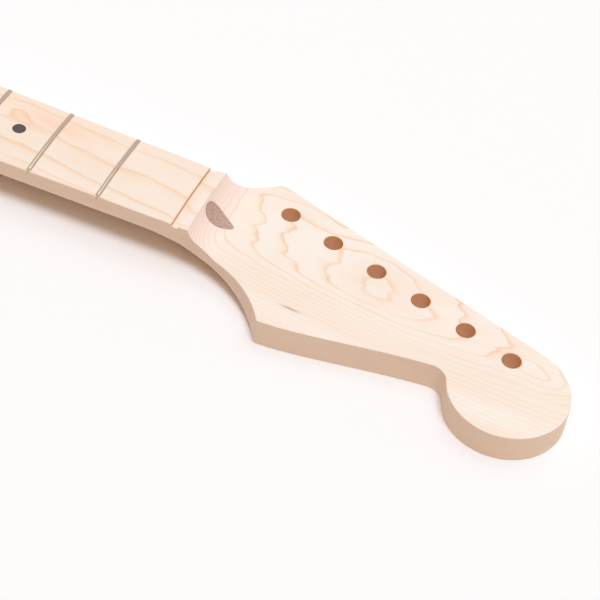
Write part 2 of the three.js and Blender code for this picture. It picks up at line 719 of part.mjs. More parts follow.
// The adjusting nut: blind-bored for the rod, domed outside, with a cross cut for a driver.
function rodNut() {
  const radius = ROD_NUT_DIAMETER / 2;
  const socket = rodRadius + ROD_GAP;
  const dome = stations(0, Math.PI / 2, CORNER_STEPS).map((angle) => [
    radius * Math.cos(angle),
    ROD_NUT_LENGTH - ROD_NUT_DOME * (1 - Math.sin(angle)),
  ]);
  dome[dome.length - 1][0] = 0;
  const body = turned([
    [0, ROD_NUT_SOCKET_DEPTH],
    [socket, ROD_NUT_SOCKET_DEPTH],
    [socket, 0],
    [radius - METAL_CHAMFER, 0],
    [radius, METAL_CHAMFER],
    ...dome,
  ]);
  const cut = (spanX, spanZ) => {
    const height = DRIVER_SLOT_DEPTH + OVERRUN;
    const middle = ROD_NUT_LENGTH - DRIVER_SLOT_DEPTH + height / 2;
    return solid(new THREE.BoxGeometry(spanX, height, spanZ).translate(0, middle, 0));
  };
  const across = ROD_NUT_DIAMETER + OVERRUN;
  return body.subtract(cut(across, DRIVER_SLOT_WIDTH)).subtract(cut(DRIVER_SLOT_WIDTH, across));
}

function washer() {
  return turned(ringProfile(rodRadius + ROD_GAP, ROD_NUT_DIAMETER / 2, WASHER_THICKNESS, 0));
}

function anchor() {
  const outer = ANCHOR_DIAMETER / 2;
  return turned(ringProfile(rodRadius + ROD_GAP, outer, ANCHOR_LENGTH, METAL_CHAMFER));
}

function headstockPlug(form) {
  const from = onPlugAxis(ANCHOR_LENGTH - ANCHOR_SETBACK + ROD_GAP);
  const to = onPlugAxis(scoopEnd - nutX + PLUG_BORE_DIAMETER);
  return form.intersect(bar(from, to, PLUG_BORE_DIAMETER - 2 * INLAY_GAP, HOLE_STEPS));
}

function piece(name, body, material) {
  const mesh = new THREE.Mesh(geometryOf(body), material);
  mesh.name = name;
  return mesh;
}

const twoDigits = (n) => String(n).padStart(2, '0');

function buildNeck() {
  const neck = new THREE.Group();
  const form = neckForm();
  neck.add(piece('neck_blank', neckBlank(form), maple));

  for (const n of fretNumbers) {
    const mesh = piece(`fret_${twoDigits(n)}`, fret(n), nickelSilver);
    mesh.position.x = fretX(n);
    neck.add(mesh);
  }
  for (const dot of faceDots) {
    const body = form.intersect(faceDotBar(dot, INLAY_GAP));
    neck.add(piece(`face_dot_${twoDigits(dot.fret)}${dot.tag}`, body, inlayBlack));
  }
  for (const dot of sideDots) {
    const body = form.intersect(sideDotBar(dot, INLAY_GAP));
    neck.add(piece(`side_dot_${twoDigits(dot.fret)}${dot.tag}`, body, inlayBlack));
  }

  neck.add(piece('truss_rod', trussRod(), steel));
  const fillet = form.intersect(channelStrip(INLAY_GAP, -rodRadius - ROD_GAP));
  neck.add(piece('truss_rod_fillet', fillet, walnut));
  neck.add(piece('headstock_plug', headstockPlug(form), walnut));

  const anchorAxis = new THREE.Group();
  anchorAxis.position.copy(onPlugAxis(SEAT_GAP - ANCHOR_SETBACK));
  anchorAxis.rotation.y = -PLUG_TILT;
  anchorAxis.add(lyingAlong(piece('truss_rod_anchor', anchor(), steel), 1, 0));

  const heelAxis = new THREE.Group();
  heelAxis.position.z = rodHeelHeight;
  heelAxis.add(lyingAlong(piece('truss_rod_washer', washer(), steel), 1, washerFace));
  heelAxis.add(lyingAlong(piece('truss_rod_nut', rodNut(), steel), -1, rodNutFace));

  neck.add(anchorAxis, heelAxis);
  return neck;
}

// Lays a turned part down so that its axis points towards the headstock or the heel.
function lyingAlong(mesh, direction, x) {
  mesh.rotation.z = (-direction * Math.PI) / 2;
  mesh.position.x = x;
  return mesh;
}

export default buildNeck();
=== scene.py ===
"""Electric guitar neck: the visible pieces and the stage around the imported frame.

Lengths are in metres. As in the frame, +X runs from the heel to the headstock, +Y to the bass
side and +Z up through the board.
"""

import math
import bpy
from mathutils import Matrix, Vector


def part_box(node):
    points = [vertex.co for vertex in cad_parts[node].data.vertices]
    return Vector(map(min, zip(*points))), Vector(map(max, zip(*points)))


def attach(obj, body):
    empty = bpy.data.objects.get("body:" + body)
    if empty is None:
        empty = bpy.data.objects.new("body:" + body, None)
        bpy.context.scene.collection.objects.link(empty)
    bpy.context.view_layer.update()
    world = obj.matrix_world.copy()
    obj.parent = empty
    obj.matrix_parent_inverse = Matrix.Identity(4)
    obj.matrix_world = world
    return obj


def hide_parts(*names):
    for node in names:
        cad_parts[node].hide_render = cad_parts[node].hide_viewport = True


bl_info = {
    "name": "Electric guitar neck",
    "version": (1, 0, 0),
    "blender": (4, 5, 0),
    "location": "View3D > Sidebar > Guitar neck",
    "description": "Dresses the packed neck in bare maple, nickel frets, inlays and a walnut plug",
    "category": "Object",
}

import bmesh
import bpy
import numpy as np
from bpy.props import FloatProperty, FloatVectorProperty, PointerProperty
from mathutils import Matrix, Vector

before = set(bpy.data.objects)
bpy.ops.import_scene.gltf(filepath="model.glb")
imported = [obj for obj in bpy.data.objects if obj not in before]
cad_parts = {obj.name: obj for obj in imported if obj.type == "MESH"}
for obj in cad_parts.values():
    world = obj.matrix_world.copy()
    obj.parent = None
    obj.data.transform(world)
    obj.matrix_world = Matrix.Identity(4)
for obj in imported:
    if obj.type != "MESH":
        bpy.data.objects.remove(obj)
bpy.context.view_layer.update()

MM = 0.001
QUARTER = math.pi / 2
NECK_BODY = "neck"
ADJUSTER_BODY = "adjuster"
TUNERS = 6
FRETS, FACE_DOTS, SIDE_DOTS = (
    sorted(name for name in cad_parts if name.startswith(kind))
    for kind in ("fret_", "face_dot_", "side_dot_")
)

# How far cutters reach past the wood, and how close two points are to become one
OVERRUN, DOT_OVERRUN = 2 * MM, MM
SAME_POINT = 0.002 * MM

# Edges that bend by more degrees than this stay sharp
WOOD_SHARP, FITTING_SHARP, NUT_SHARP = 32, 40, 30

# How many steps round forms have
TUNER_HOLE_STEPS, BORE_STEPS, PLUG_STEPS, PILOT_STEPS = 56, 48, 72, 32
DISC_STEPS, PEG_STEPS = 40, 28
FLARE_STEPS, CORNER_STEPS, CURVE_STEPS, POINT_STEPS, THROAT_STEPS = 24, 16, 48, 12, 16
TIP_STEPS = 28
RIM_POINTS, DOME_POINTS = 5, 7

# How many points a fret slot has along the crown, and the rod's channel in an end and in between
SLOT_POINTS = 25
CHANNEL_END, CHANNEL_RUN = 10, 88

# How many points the neck's skin has along each stretch, and across the top, the edge and the back
HEEL_WALL, HEEL_CORNER, HEEL_SIDE, SHAFT, LIP, SCOOP, HEAD = 10, 8, 8, 96, 5, 20, 70
TOP, EDGE, BACK = 10, 6, 21
# Where the level back's points lie, as shares of the way from the round back to the middle
LEVEL_SHARES = np.array([1, 2, 3]) / 4


# Sizes and colours that a user would change


def size(name, text, millimetres):
    """A length property, stored in metres and shown in the scene's unit."""
    return FloatProperty(name=name, description=text, default=millimetres * MM, unit="LENGTH")


def angle(name, text, degrees):
    """An angle property, stored in radians and shown in degrees."""
    turn = math.radians(degrees)
    return FloatProperty(name=name, description=text, default=turn, subtype="ANGLE")


def share(name, text, value):
    """A plain share between nought and one."""
    return FloatProperty(name=name, description=text, default=value, subtype="FACTOR", min=0, max=1)


def colour(name, text, red, green, blue):
    """A colour property, given as sRGB values from 0 to 255 and stored as linear light."""
    display = np.array([red, green, blue]) / 255
    linear = np.where(display <= 0.04045, display / 12.92, ((display + 0.055) / 1.055) ** 2.4)
    return FloatVectorProperty(
        name=name, description=text, default=linear.tolist(), subtype="COLOR", size=3, min=0, max=1
    )


class NeckShape(bpy.types.PropertyGroup):
    """Sizes of the wood. They repeat the real sizes of the frame's solids."""

    scale_length: size("Scale length", "Length of the open string, which sets the frets", 647.7)
    board_radius: size("Board radius", "Radius of the crown across the fingerboard", 241.3)
    nut_width: size("Nut width", "Width of the board at the nut", 42)
    heel_width: size("Heel width", "Width of the board at the heel's end", 56)
    heel_thickness: size("Heel thickness", "Thickness of the heel under the crown", 25.4)
    heel_corner: size("Heel corner", "Plan radius of the heel's two end corners", 5)
    heel_run: size("Heel run", "Length over which the round back fades in after the heel", 52)
    first_thickness: size("Thickness at fret 1", "Board and back together at fret 1", 20.4)
    twelfth_thickness: size("Thickness at fret 12", "Board and back together at fret 12", 22.2)
    side_height: size("Board side", "Depth below the crown at which the round back starts", 3.2)
    nut_slot_width: size("Nut slot width", "Length of the nut slot along the neck", 3.3)
    nut_slot_depth: size("Nut slot depth", "Depth of the nut slot below the board", 1.5)
    lip_length: size("Lip length", "Length of the lip between the nut slot and the scoop", 4.2)
    lip_drop: size("Lip drop", "How far the lip lies below the board", 0.3)
    scoop_radius: size("Scoop radius", "Radius of the hollow between lip and headstock", 17)
    head_thickness: size("Headstock thickness", "Thickness of the headstock", 14.2)
    ball_station: size("Ball station", "Middle of the round end, from the end of the board", 165.6)
    ball_offset: size("Ball offset", "Middle of the round end, towards the treble side", 31)
    ball_radius: size("Ball radius", "Radius of the round end", 27.3)
    throat_radius: size("Throat radius", "Radius of the inside corner beside the round end", 8)
    bass_slant: angle("Bass edge slant", "Angle of the tuner edge to the neck", 16.6)
    flare_start: size("Flare start", "Where the bass side starts to flare, past the board", 1.5)
    flare_radius: size("Flare radius", "Radius of the bass flare", 24)
    flare_angle: angle("Flare angle", "Angle at which the bass flare runs out", 38)
    bass_corner: size("Bass corner", "Radius of the corner between flare and tuner edge", 5)
    curve_start: size("Curve start", "Where the treble side starts to curve, past the board", 8)
    curve_radius: size("Curve radius", "Radius of the treble side's long curve", 53.2)
    curve_angle: angle("Curve angle", "Angle at which the treble curve meets the point", 59.2)
    treble_corner: size("Treble corner", "Radius of the treble point", 1.8)
    lower_start: angle("Lower edge start", "Heading of the lower edge at the treble point", 3)
    lower_end: angle("Lower edge end", "Heading of the lower edge at the throat", 6.5)
    lower_offset: size("Lower edge offset", "Lower edge at the throat, from the middle", 33.8)
    lower_start_pull: size("Start pull", "How long the lower edge keeps its first heading", 22)
    lower_end_pull: size("End pull", "How long the lower edge keeps its last heading", 28)
    drop_before: size("Drop before nut", "Where the back starts down to the headstock", 16)
    drop_past: size("Drop past nut", "Where the back reaches the headstock's plane", 17)
    fade_past: size("Fade past nut", "Where the round back starts to shrink to the corners", 3)
    fade_power: FloatProperty(
        name="Fade power", description="How sharply the round back shrinks", default=0.9
    )
    back_flat: share("Back flat", "Share of the half width left flat in the middle", 0.03)
    edge_radius: size("Edge radius", "Rounding left by sanding on every long edge", 0.4)
    tuner_spacing: size("Tuner spacing", "Distance between two tuner holes", 25)
    tuner_hole: size("Tuner hole", "Diameter of a tuner hole", 8.8)
    tuner_inset: size("Tuner inset", "Tuner holes' distance from the tuner edge", 12.9)
    tuner_setback: size("Tuner setback", "First hole's distance from the bass corner", 14.6)
    tuner_rim: size("Tuner rim", "Rounding of a tuner hole's rim", 0.25)
    screw_spacing: size("Screw spacing", "Heel screws' distance along the neck", 50.8)
    screw_gauge: size("Screw gauge", "Heel screws' distance across the neck", 38.1)
    pilot_hole: size("Pilot hole", "Diameter of a heel screw's pilot hole", 3.2)
    pilot_depth: size("Pilot depth", "Depth of a pilot hole", 17)


class FittingShape(bpy.types.PropertyGroup):
    """Sizes of the frets, inlays, plug, rod channel and adjusting nut."""

    fret_width: size("Fret width", "Width of a fret's crown", 2.2)
    fret_height: size("Fret height", "Height of a fret's crown above the board", 1.1)
    fret_foot: size("Fret foot", "Upright foot of the crown", 0.2)
    fret_seat: size("Fret seat", "Gap between the crown's foot and the board", 0.01)
    fret_gap: size("Fret gap", "Gap between a fret's tang and its slot", 0.05)
    fret_inset: size("Fret inset", "How far a fret's end stays inside the board's edge", 0.25)
    fret_bevel: angle("Fret bevel", "Slant of a fret's end from upright", 32)
    fret_softening: size("Fret end softening", "Rounding filed on a fret's end", 0.18)
    tang_width: size("Tang width", "Thickness of the strip under a fret", 0.55)
    tang_depth: size("Tang depth", "Depth of the strip under a fret", 1.7)
    dot: size("Dot", "Diameter of a face dot", 6.35)
    dot_depth: size("Dot depth", "Depth of a face dot", 2)
    side_dot: size("Side dot", "Diameter of a side dot", 2)
    side_dot_depth: size("Side dot depth", "Length of a side dot in the wood", 3)
    dot_softening: size("Dot softening", "Rounding of a dot's rim", 0.06)
    glue_line: size("Glue line", "Gap round an inlaid piece", 0.03)
    plug_bore: size("Plug bore", "Diameter of the bore under the walnut plug", 10.5)
    plug_depth: size("Plug depth", "Depth of the bore's axis under the board's end", 7.8)
    plug_tilt: angle("Plug tilt", "Slope of the bore's axis", 5)
    anchor_setback: size("Anchor setback", "Bottom of the plug bore, from the board's end", 8)
    anchor_length: size("Anchor length", "Length of the rod's anchor", 7)
    rod: size("Rod", "Diameter of the truss rod", 4.76)
    rod_hole: size("Rod hole", "Diameter of the hole round the rod's ends", 5.6)
    rod_gap: size("Rod gap", "Clearance above and below the rod", 0.3)
    channel: size("Channel", "Width of the rod's channel in the back", 6.35)
    channel_heel: size("Channel heel end", "Channel's distance from the heel's end", 56)
    channel_head: size("Channel head end", "Channel's distance from the nut", 14)
    rod_low: share("Rod low point", "Where the rod lies deepest, as a share of the board", 0.57)
    fillet: size("Fillet", "Least thickness of the strip that closes the channel", 3.1)
    nut_bore: size("Nut bore", "Diameter of the adjusting nut's counterbore", 9.8)
    nut_bore_depth: size("Nut bore depth", "Depth of that counterbore", 17)
    rod_nut: size("Rod nut", "Diameter of the adjusting nut", 9)
    rod_nut_socket: share("Rod nut socket", "Depth of the rod's hole, as a share of the nut", 0.75)
    rod_nut_dome: size("Rod nut dome", "Height of the dome on the nut's free end", 1.2)
    rod_nut_chamfer: size("Rod nut chamfer", "Chamfer on the nut's other end", 0.5)
    driver_slot: size("Driver slot", "Width of the cross cut in the nut", 1.3)
    driver_depth: size("Driver slot depth", "Depth of the cross cut in the nut", 2)


class Finishes(bpy.types.PropertyGroup):
    """Colours of the finishes."""

    maple: colour("Maple", "Bare maple between the lines", 250, 241, 232)
    maple_line: colour("Maple line", "The warm line at each layer's end", 243, 199, 157)
    maple_blush: colour("Maple blush", "Warm patch in the board between two lines", 250, 214, 190)
    maple_streak: colour("Maple streak", "Small mineral streak in the headstock", 172, 98, 60)
    maple_end: colour("End grain", "Maple cut across its layers", 253, 232, 223)
    maple_side: colour("Side grain", "Maple's quartered sides", 238, 212, 188)
    maple_side_line: colour("Side line", "The line at each layer's end in the sides", 220, 182, 150)
    # The hole wall's own colour with painted light added: lighter and warmer, for the warm light
    # bounced inside the holes
    hole: colour("Hole wall", "Wall of a drilled hole", 250, 208, 172)
    # Reddish brown for the nut slot's wall at the end of the board and for the lines in the slot's
    # corners
    slot_brown: colour("Scorched wall", "Wall of the nut slot, scorched by the cutter", 222, 164, 130)
    walnut: colour("Walnut", "Walnut between its pores", 203, 171, 158)
    walnut_line: colour("Walnut line", "Walnut's darker lines", 174, 138, 124)
    inlay: colour("Inlay", "Dark composite of the dots", 66, 57, 53)
    # Nickel silver with a painted reflection: darker and warmer than the bare metal, for the warm
    # room that the frets would mirror, since polished metal sees the room white
    nickel: colour("Nickel silver", "Polished fret wire", 194, 174, 156)
    steel: colour("Steel", "Machined steel of the rod's parts", 150, 152, 154)


class StageShape(bpy.types.PropertyGroup):
    """The camera's place and the soft light round the neck."""

    camera_azimuth: angle("Camera azimuth", "Camera's turn about the upright", 16.15)
    camera_elevation: angle("Camera elevation", "Camera's height above the floor", 46.07)
    camera_roll: angle("Camera roll", "Camera's lean to one side", 9.34)
    camera_distance: size("Camera distance", "From the camera to the point it looks at", 933.2)
    aim: FloatVectorProperty(
        name="Aim", description="Point that the middle of the picture shows", subtype="XYZ",
        unit="LENGTH", size=3, default=(0.4881, -0.0262, 0.0142),
    )
    lens: FloatProperty(
        name="Lens", description="Focal length", default=127.66, subtype="DISTANCE_CAMERA"
    )
    floor_size: size("Floor size", "Side of the pale floor", 6000)
    floor_drop: size("Floor drop", "How far the floor lies under the neck", 0.15)
    floor: colour("Floor", "Pale floor", 251, 252, 255)
    floor_fleck: colour("Floor fleck", "Faint flecks in the floor", 253, 253, 255)
    sky: colour("Sky", "Even light from above", 185, 187, 184)
    front: colour("Front shade", "Dim warm room on the camera's side", 158, 110, 60)
    lamp: colour("Lamp colour", "Colour of both lamps", 236, 247, 255)
    backdrop: colour("Backdrop", "Pale backdrop low behind the neck", 240, 226, 208)
    gap: colour("Gap", "Dimmer stretch between backdrop and lamps", 196, 178, 164)
    below: colour("Light from below", "Light on the faces that lie on the floor", 232, 232, 232)
    contact: size("Contact", "How far under a face the floor lets light past", 0.4)
    overhead_azimuth: angle("Overhead azimuth", "Turn of the large lamp overhead", 42)
    overhead_elevation: angle("Overhead elevation", "Height of the large lamp overhead", 76)
    overhead_spread: angle("Overhead spread", "Breadth of the large lamp overhead", 20)
    overhead_level: share("Overhead level", "Light that this lamp gives a level surface", 0.52)
    behind_azimuth: angle("Rear azimuth", "Turn of the lamp behind, which the frets mirror", 175)
    behind_elevation: angle("Rear elevation", "Height of the lamp behind", 71)
    behind_spread: angle("Rear spread", "Breadth of the lamp behind", 42)
    behind_level: share("Rear level", "Light that this lamp gives a level surface", 0.14)


# Meshes from arrays


def mesh_object(name, points, faces):
    """An object at the origin whose mesh holds these points and faces."""
    mesh = bpy.data.meshes.new(name)
    mesh.from_pydata(points.reshape(-1, 3), [], faces)
    made = bpy.data.objects.new(name, mesh)
    bpy.context.scene.collection.objects.link(made)
    return made


def skin(name, rings, capped=False):
    """A closed skin through rings of points, shaped (rings, points, 3).

    Quads join each ring to the next. Both ends either run together in a point or a line, or a
    flat face caps them. Points that lie together are merged and faces turned outwards.
    """
    rows, columns = rings.shape[:2]
    start = (np.arange(rows - 1) * columns)[:, None]
    here = np.arange(columns)[None, :]
    there = (here + 1) % columns
    corners = [start + here, start + there, start + columns + there, start + columns + here]
    faces = np.stack(corners, axis=-1).reshape(-1, 4).tolist()
    if capped:
        faces += [list(range(columns)), list(range((rows - 1) * columns, rows * columns))]
    piece = mesh_object(name, rings, faces)
    made = bmesh.new()
    made.from_mesh(piece.data)
    bmesh.ops.remove_doubles(made, verts=made.verts, dist=SAME_POINT)
    bmesh.ops.dissolve_degenerate(made, edges=made.edges, dist=SAME_POINT)
    bmesh.ops.recalc_face_normals(made, faces=made.faces)
    made.to_mesh(piece.data)
    made.free()
    return piece


def circle(axis, across, steps):
    """Unit vectors round an axis: cos t * across + sin t * (axis x across)."""
    turn = np.arange(steps) * (2 * math.pi / steps)
    return np.cos(turn)[:, None] * across + np.sin(turn)[:, None] * np.cross(axis, across)


def lathe(name, profile, origin, axis, across, steps):
    """A profile of (distance from the axis, distance along it) turned about an axis.

    A point is origin + along * axis + radius * its unit vector round the axis.
    """
    axis = np.asarray(axis, float)
    radius, along = np.asarray(profile, float).T[..., None, None]
    return skin(name, origin + along * axis + radius * circle(axis, across, steps))


def bore(name, start, end, radius, steps=BORE_STEPS):
    """A round bar between two points that lie in a plane along the neck or straight across it."""
    start, end = np.asarray(start, float), np.asarray(end, float)
    length = np.linalg.norm(end - start)
    axis = (end - start) / length
    across = np.cross(axis, (0, 1, 0)) if abs(axis[1]) < 0.5 else np.array([1.0, 0, 0])
    profile = [[0, 0], [radius, 0], [radius, length], [0, length]]
    return lathe(name, profile, start, axis, across / np.linalg.norm(across), steps)


def joined(name, parts):
    """Several closed shells as one object."""
    points, faces, start = [], [], 0
    for part in parts:
        count = len(part.data.vertices)
        place = np.empty(count * 3)
        part.data.vertices.foreach_get("co", place)
        points.append(place)
        faces += [[start + i for i in polygon.vertices] for polygon in part.data.polygons]
        start += count
        bpy.data.objects.remove(part)
    return mesh_object(name, np.concatenate(points), faces)


def baked(piece):
    """Puts the shape that the piece's modifiers give it into its mesh."""
    graph = bpy.context.evaluated_depsgraph_get()
    shaped = bpy.data.meshes.new_from_object(piece.evaluated_get(graph), depsgraph=graph)
    old = piece.data
    piece.modifiers.clear()
    piece.data = shaped
    shaped.name = piece.name
    bpy.data.meshes.remove(old)
    return piece


def cut(piece, tool, operation="DIFFERENCE", keep_tool=False):
    """Cuts a solid with another one. The cut faces keep the tool's material."""
    step = piece.modifiers.new("cut", "BOOLEAN")
    step.operation = operation
    step.solver = "EXACT"
    step.material_mode = "TRANSFER"
    step.object = tool
    baked(piece)
    if not keep_tool:
        bpy.data.objects.remove(tool)
    if not piece.data.polygons:
        raise RuntimeError(f"{piece.name}: nothing is left after a cut")
    return piece


def smooth(piece, degrees=WOOD_SHARP):
    """Shades smoothly up to an angle, with large flat faces kept flat."""
    piece.data.shade_smooth()
    piece.data.set_sharp_from_angle(angle=math.radians(degrees))
    weighted = piece.modifiers.new("weighted", "WEIGHTED_NORMAL")
    weighted.keep_sharp = True
    return baked(piece)


def paint(piece, *materials):
    """Gives a new piece its materials, first one first."""
    for material in materials:
        piece.data.materials.append(material)
    return piece


def middle_of(node):
    """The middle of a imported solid's box."""
    low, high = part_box(node)
    return (np.array(low) + np.array(high)) / 2


# Plan outline of the neck, as arrays of points whose x only grows


def arc(centre, radius, start, end, steps):
    """Points centre + radius * (cos t, sin t) for evenly spaced t from start to end."""
    turn = np.linspace(start, end, steps + 1)
    return np.asarray(centre) + radius * np.stack([np.cos(turn), np.sin(turn)], axis=-1)


def walked(point, heading, distance):
    """The point that lies a distance away along a heading."""
    return np.asarray(point) + distance * np.array([math.cos(heading), math.sin(heading)])


def corner_arc(corner, heading_in, heading_out, radius, steps):
    """The arc that rounds a corner. It turns left where the heading grows, or else right."""
    side = math.copysign(QUARTER, heading_out - heading_in)
    setback = radius * math.tan(abs(heading_out - heading_in) / 2)
    start = walked(corner, heading_in, -setback)
    centre = walked(start, heading_in + side, radius)
    return arc(centre, radius, heading_in - side, heading_out - side, steps)


def ease(t):
    """Rises from 0 to 1 with a soft start and end: 3 t^2 - 2 t^3, and level outside."""
    t = np.clip(t, 0, 1)
    return t * t * (3 - 2 * t)


class Plan:
    """Places that follow from the sizes, and the two side outlines of the headstock."""

    def __init__(self, scene):
        self.shape = shape = scene.neck_shape
        self.fitting = fitting = scene.fitting_shape
        low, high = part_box("neck_blank")
        self.heel_end = low.x
        self.nut = high.x - shape.ball_radius - shape.ball_station
        self.taper = (shape.heel_width - shape.nut_width) / 2 / (self.nut - self.heel_end)
        self.slot_end = self.nut + shape.nut_slot_width
        self.lip_end = self.slot_end + shape.lip_length
        self.crown_centre = shape.heel_thickness - shape.board_radius
        rise = shape.heel_thickness - shape.lip_drop - shape.head_thickness
        self.scoop_turn = math.acos(1 - rise / shape.scoop_radius)
        self.scoop_end = self.lip_end + shape.scoop_radius * math.sin(self.scoop_turn)
        self.ball = np.array([self.nut + shape.ball_station, -shape.ball_offset])
        # Half the room round the rod, its height in the heel, and the far end of the plug's bore
        self.rod_room = fitting.rod / 2 + fitting.rod_gap
        self.rod_exit = shape.heel_thickness / 2
        self.plug_reach = self.scoop_end - self.nut + fitting.plug_bore
        self.bass = self.bass_outline()
        self.treble = self.treble_outline()

    def half_width(self, x):
        """Half the board's width: it grows evenly from the nut to the heel."""
        return self.shape.nut_width / 2 + (self.nut - x) * self.taper

    def fret(self, number):
        """A fret's place: the twelfth root of two, over and over, from the nut."""
        return self.nut - self.shape.scale_length * (1 - 2 ** (-number / 12))

    def crown(self, y):
        """Height of the board's crown: an arc of the board's radius."""
        return self.crown_centre + np.sqrt(self.shape.board_radius**2 - y**2)

    def bass_outline(self):
        """Flare arc, its straight run, the rounded corner and the long slanting tuner edge."""
        shape = self.shape
        start = self.nut + shape.flare_start
        centre = np.array([start, self.half_width(start) + shape.flare_radius])
        flare = arc(centre, shape.flare_radius, -QUARTER, shape.flare_angle - QUARTER, FLARE_STEPS)
        touch = walked(self.ball, QUARTER - shape.bass_slant, shape.ball_radius)
        slope, fall = math.tan(shape.flare_angle), -math.tan(shape.bass_slant)
        run = touch[1] - flare[-1, 1] - fall * (touch[0] - flare[-1, 0])
        straight = run / (slope - fall) / math.cos(shape.flare_angle)
        self.bass_point = walked(flare[-1], shape.flare_angle, straight)
        self.bass_corner = corner_arc(
            self.bass_point, shape.flare_angle, -shape.bass_slant, shape.bass_corner, CORNER_STEPS
        )
        return np.vstack([flare, self.bass_corner, touch])

    def treble_outline(self):
        """Long curve, treble point, lower edge as a Bezier curve, and the throat's arc."""
        shape = self.shape
        start = self.nut + shape.curve_start
        centre = np.array([start, -self.half_width(start) - shape.curve_radius])
        curve = arc(centre, shape.curve_radius, QUARTER, QUARTER - shape.curve_angle, CURVE_STEPS)
        self.treble_point = curve[-1]
        point = corner_arc(
            curve[-1], -shape.curve_angle, shape.lower_start, shape.treble_corner, POINT_STEPS
        )
        reach = shape.ball_radius + shape.throat_radius
        rise = self.ball[1] + shape.lower_offset + shape.throat_radius
        self.throat_turn = math.asin(rise / reach)
        centre = self.ball - (math.sqrt(reach**2 - rise**2), rise)
        self.throat = arc(
            centre, shape.throat_radius, QUARTER + shape.lower_end, self.throat_turn, THROAT_STEPS
        )
        a, d = point[-1], self.throat[0]
        b = walked(a, shape.lower_start, shape.lower_start_pull)
        c = walked(d, shape.lower_end, -shape.lower_end_pull)
        t = np.linspace(0, 1, CURVE_STEPS + 1)[1:-1, None]
        lower = (1 - t) ** 3 * a + 3 * (1 - t) ** 2 * t * b + 3 * (1 - t) * t**2 * c + t**3 * d
        return np.vstack([curve[curve[:, 0] < point[0, 0]], point, lower, self.throat])

    def side(self, x, sign):
        """The bass (1) or treble (-1) edge at x: the board's edge, then the headstock's."""
        outline = self.bass if sign > 0 else self.treble
        out = np.interp(x, outline[:, 0], outline[:, 1])
        return np.where(x < outline[0, 0], sign * self.half_width(x), out)

    def scoop(self, x):
        """Height of the scoop: an arc that ends level in the headstock's face."""
        radius = self.shape.scoop_radius
        back = np.clip(self.scoop_end - x, 0, radius)
        height = self.shape.head_thickness + radius - np.sqrt(radius**2 - back**2)
        return np.where(self.scoop_end - x > radius, math.inf, height)

    def crease(self, y):
        """Where the lip's crown runs into the scoop's upper rim."""
        radius = self.shape.scoop_radius
        below = radius + self.shape.head_thickness - self.crown(y) + self.shape.lip_drop
        return self.scoop_end - np.sqrt(radius**2 - below**2)

    def top(self, x, y, drop):
        """Height of the upper face: the crown less a drop, cut by the scoop and the face."""
        return np.minimum(self.crown(y) - drop, self.scoop(x))

    def heel_fade(self, x):
        """Nought at the heel, which ends as far past x = 0 as it starts before, then one."""
        return ease((x + self.heel_end) / self.shape.heel_run)

    def back(self, x):
        """Height of the middle of the back: it follows the two thicknesses between the ends."""
        shape = self.shape
        first = shape.heel_thickness - shape.first_thickness
        twelfth = shape.heel_thickness - shape.twelfth_thickness
        along = (x - self.fret(1)) / (self.fret(12) - self.fret(1))
        drop = (x - self.nut + shape.drop_before) / (shape.drop_before + shape.drop_past)
        return (first + (twelfth - first) * along) * self.heel_fade(x) * (1 - ease(drop))

    def carve(self, x, corner):
        """Reach of the round back across and up at x: two half axes of a quarter ellipse."""
        shape = self.shape
        start = self.nut + shape.fade_past
        left = np.clip((corner - x) / (corner - start), 0, 1)
        amount = self.heel_fade(x) * left**shape.fade_power
        full = self.half_width(np.minimum(x, start)) * (1 - shape.back_flat)
        across = shape.edge_radius + (full - shape.edge_radius) * amount
        high = shape.heel_thickness - shape.side_height - self.back(x)
        return across, shape.edge_radius + (high - shape.edge_radius) * amount

    def bore_height(self, x):
        """Height of the plug bore's axis above x."""
        rise = (x - self.nut) * math.tan(self.fitting.plug_tilt)
        return self.shape.heel_thickness - self.fitting.plug_depth + rise

    def bore_point(self, distance):
        """A point on the slanting axis of the plug bore, a distance from the board's end."""
        x = self.nut + distance * math.cos(self.fitting.plug_tilt)
        return np.array([x, 0, self.bore_height(x)])

    def rod_height(self, x):
        """Height of the rod's axis: eased down to the low point and up into the bore's slope."""
        fitting = self.fitting
        heel = self.heel_end + fitting.channel_heel
        head = self.nut - fitting.channel_head
        low = self.heel_end + fitting.rod_low * (self.nut - self.heel_end)
        least = self.back(low) + fitting.fillet + self.rod_room
        down = self.rod_exit + (least - self.rod_exit) * ease((x - heel) / (low - heel))
        t = np.clip((x - low) / (head - low), 0, 1)
        slope = math.tan(fitting.plug_tilt) * (head - low)
        up = least + (self.bore_height(head) - least) * ease(t)
        return np.where(x < low, down, up + t * t * (t - 1) * slope)


# The wood

# Rows stand close together from a little before to a little past the treble point
CLOSE_ROWS, CLOSE_START, CLOSE_END = 24, -2 * MM, 3 * MM
# Rows are placed to this many decimals of a metre, so that none falls on its neighbour
ROW_DECIMALS = 5
# How far the headstock's first row stays from the scoop's last one
FIRST_ROW_GAP = MM / 2
# How far the rows' middles shift to the ball before the throat, as a share of the ball's offset
MIDDLE_SHIFT = -0.4
# How far from a long edge the even spacing of the top's points ends, past the rounding
EDGE_MARGIN = 0.4 * MM


def heel_rows(plan):
    """Edge points round the bass half of the heel's end, from its middle to the side."""
    shape = plan.shape
    end, half, radius = plan.heel_end, shape.heel_width / 2, shape.heel_corner
    wall = np.linspace((end, 0), (end, half - radius), HEEL_WALL)
    corner = arc((end + radius, half - radius), radius, math.pi, QUARTER, HEEL_CORNER)
    side = np.linspace(end + radius, end + half, HEEL_SIDE)[1:-1]
    return np.vstack([wall, corner[1:], np.stack([side, plan.half_width(side)], axis=-1)])


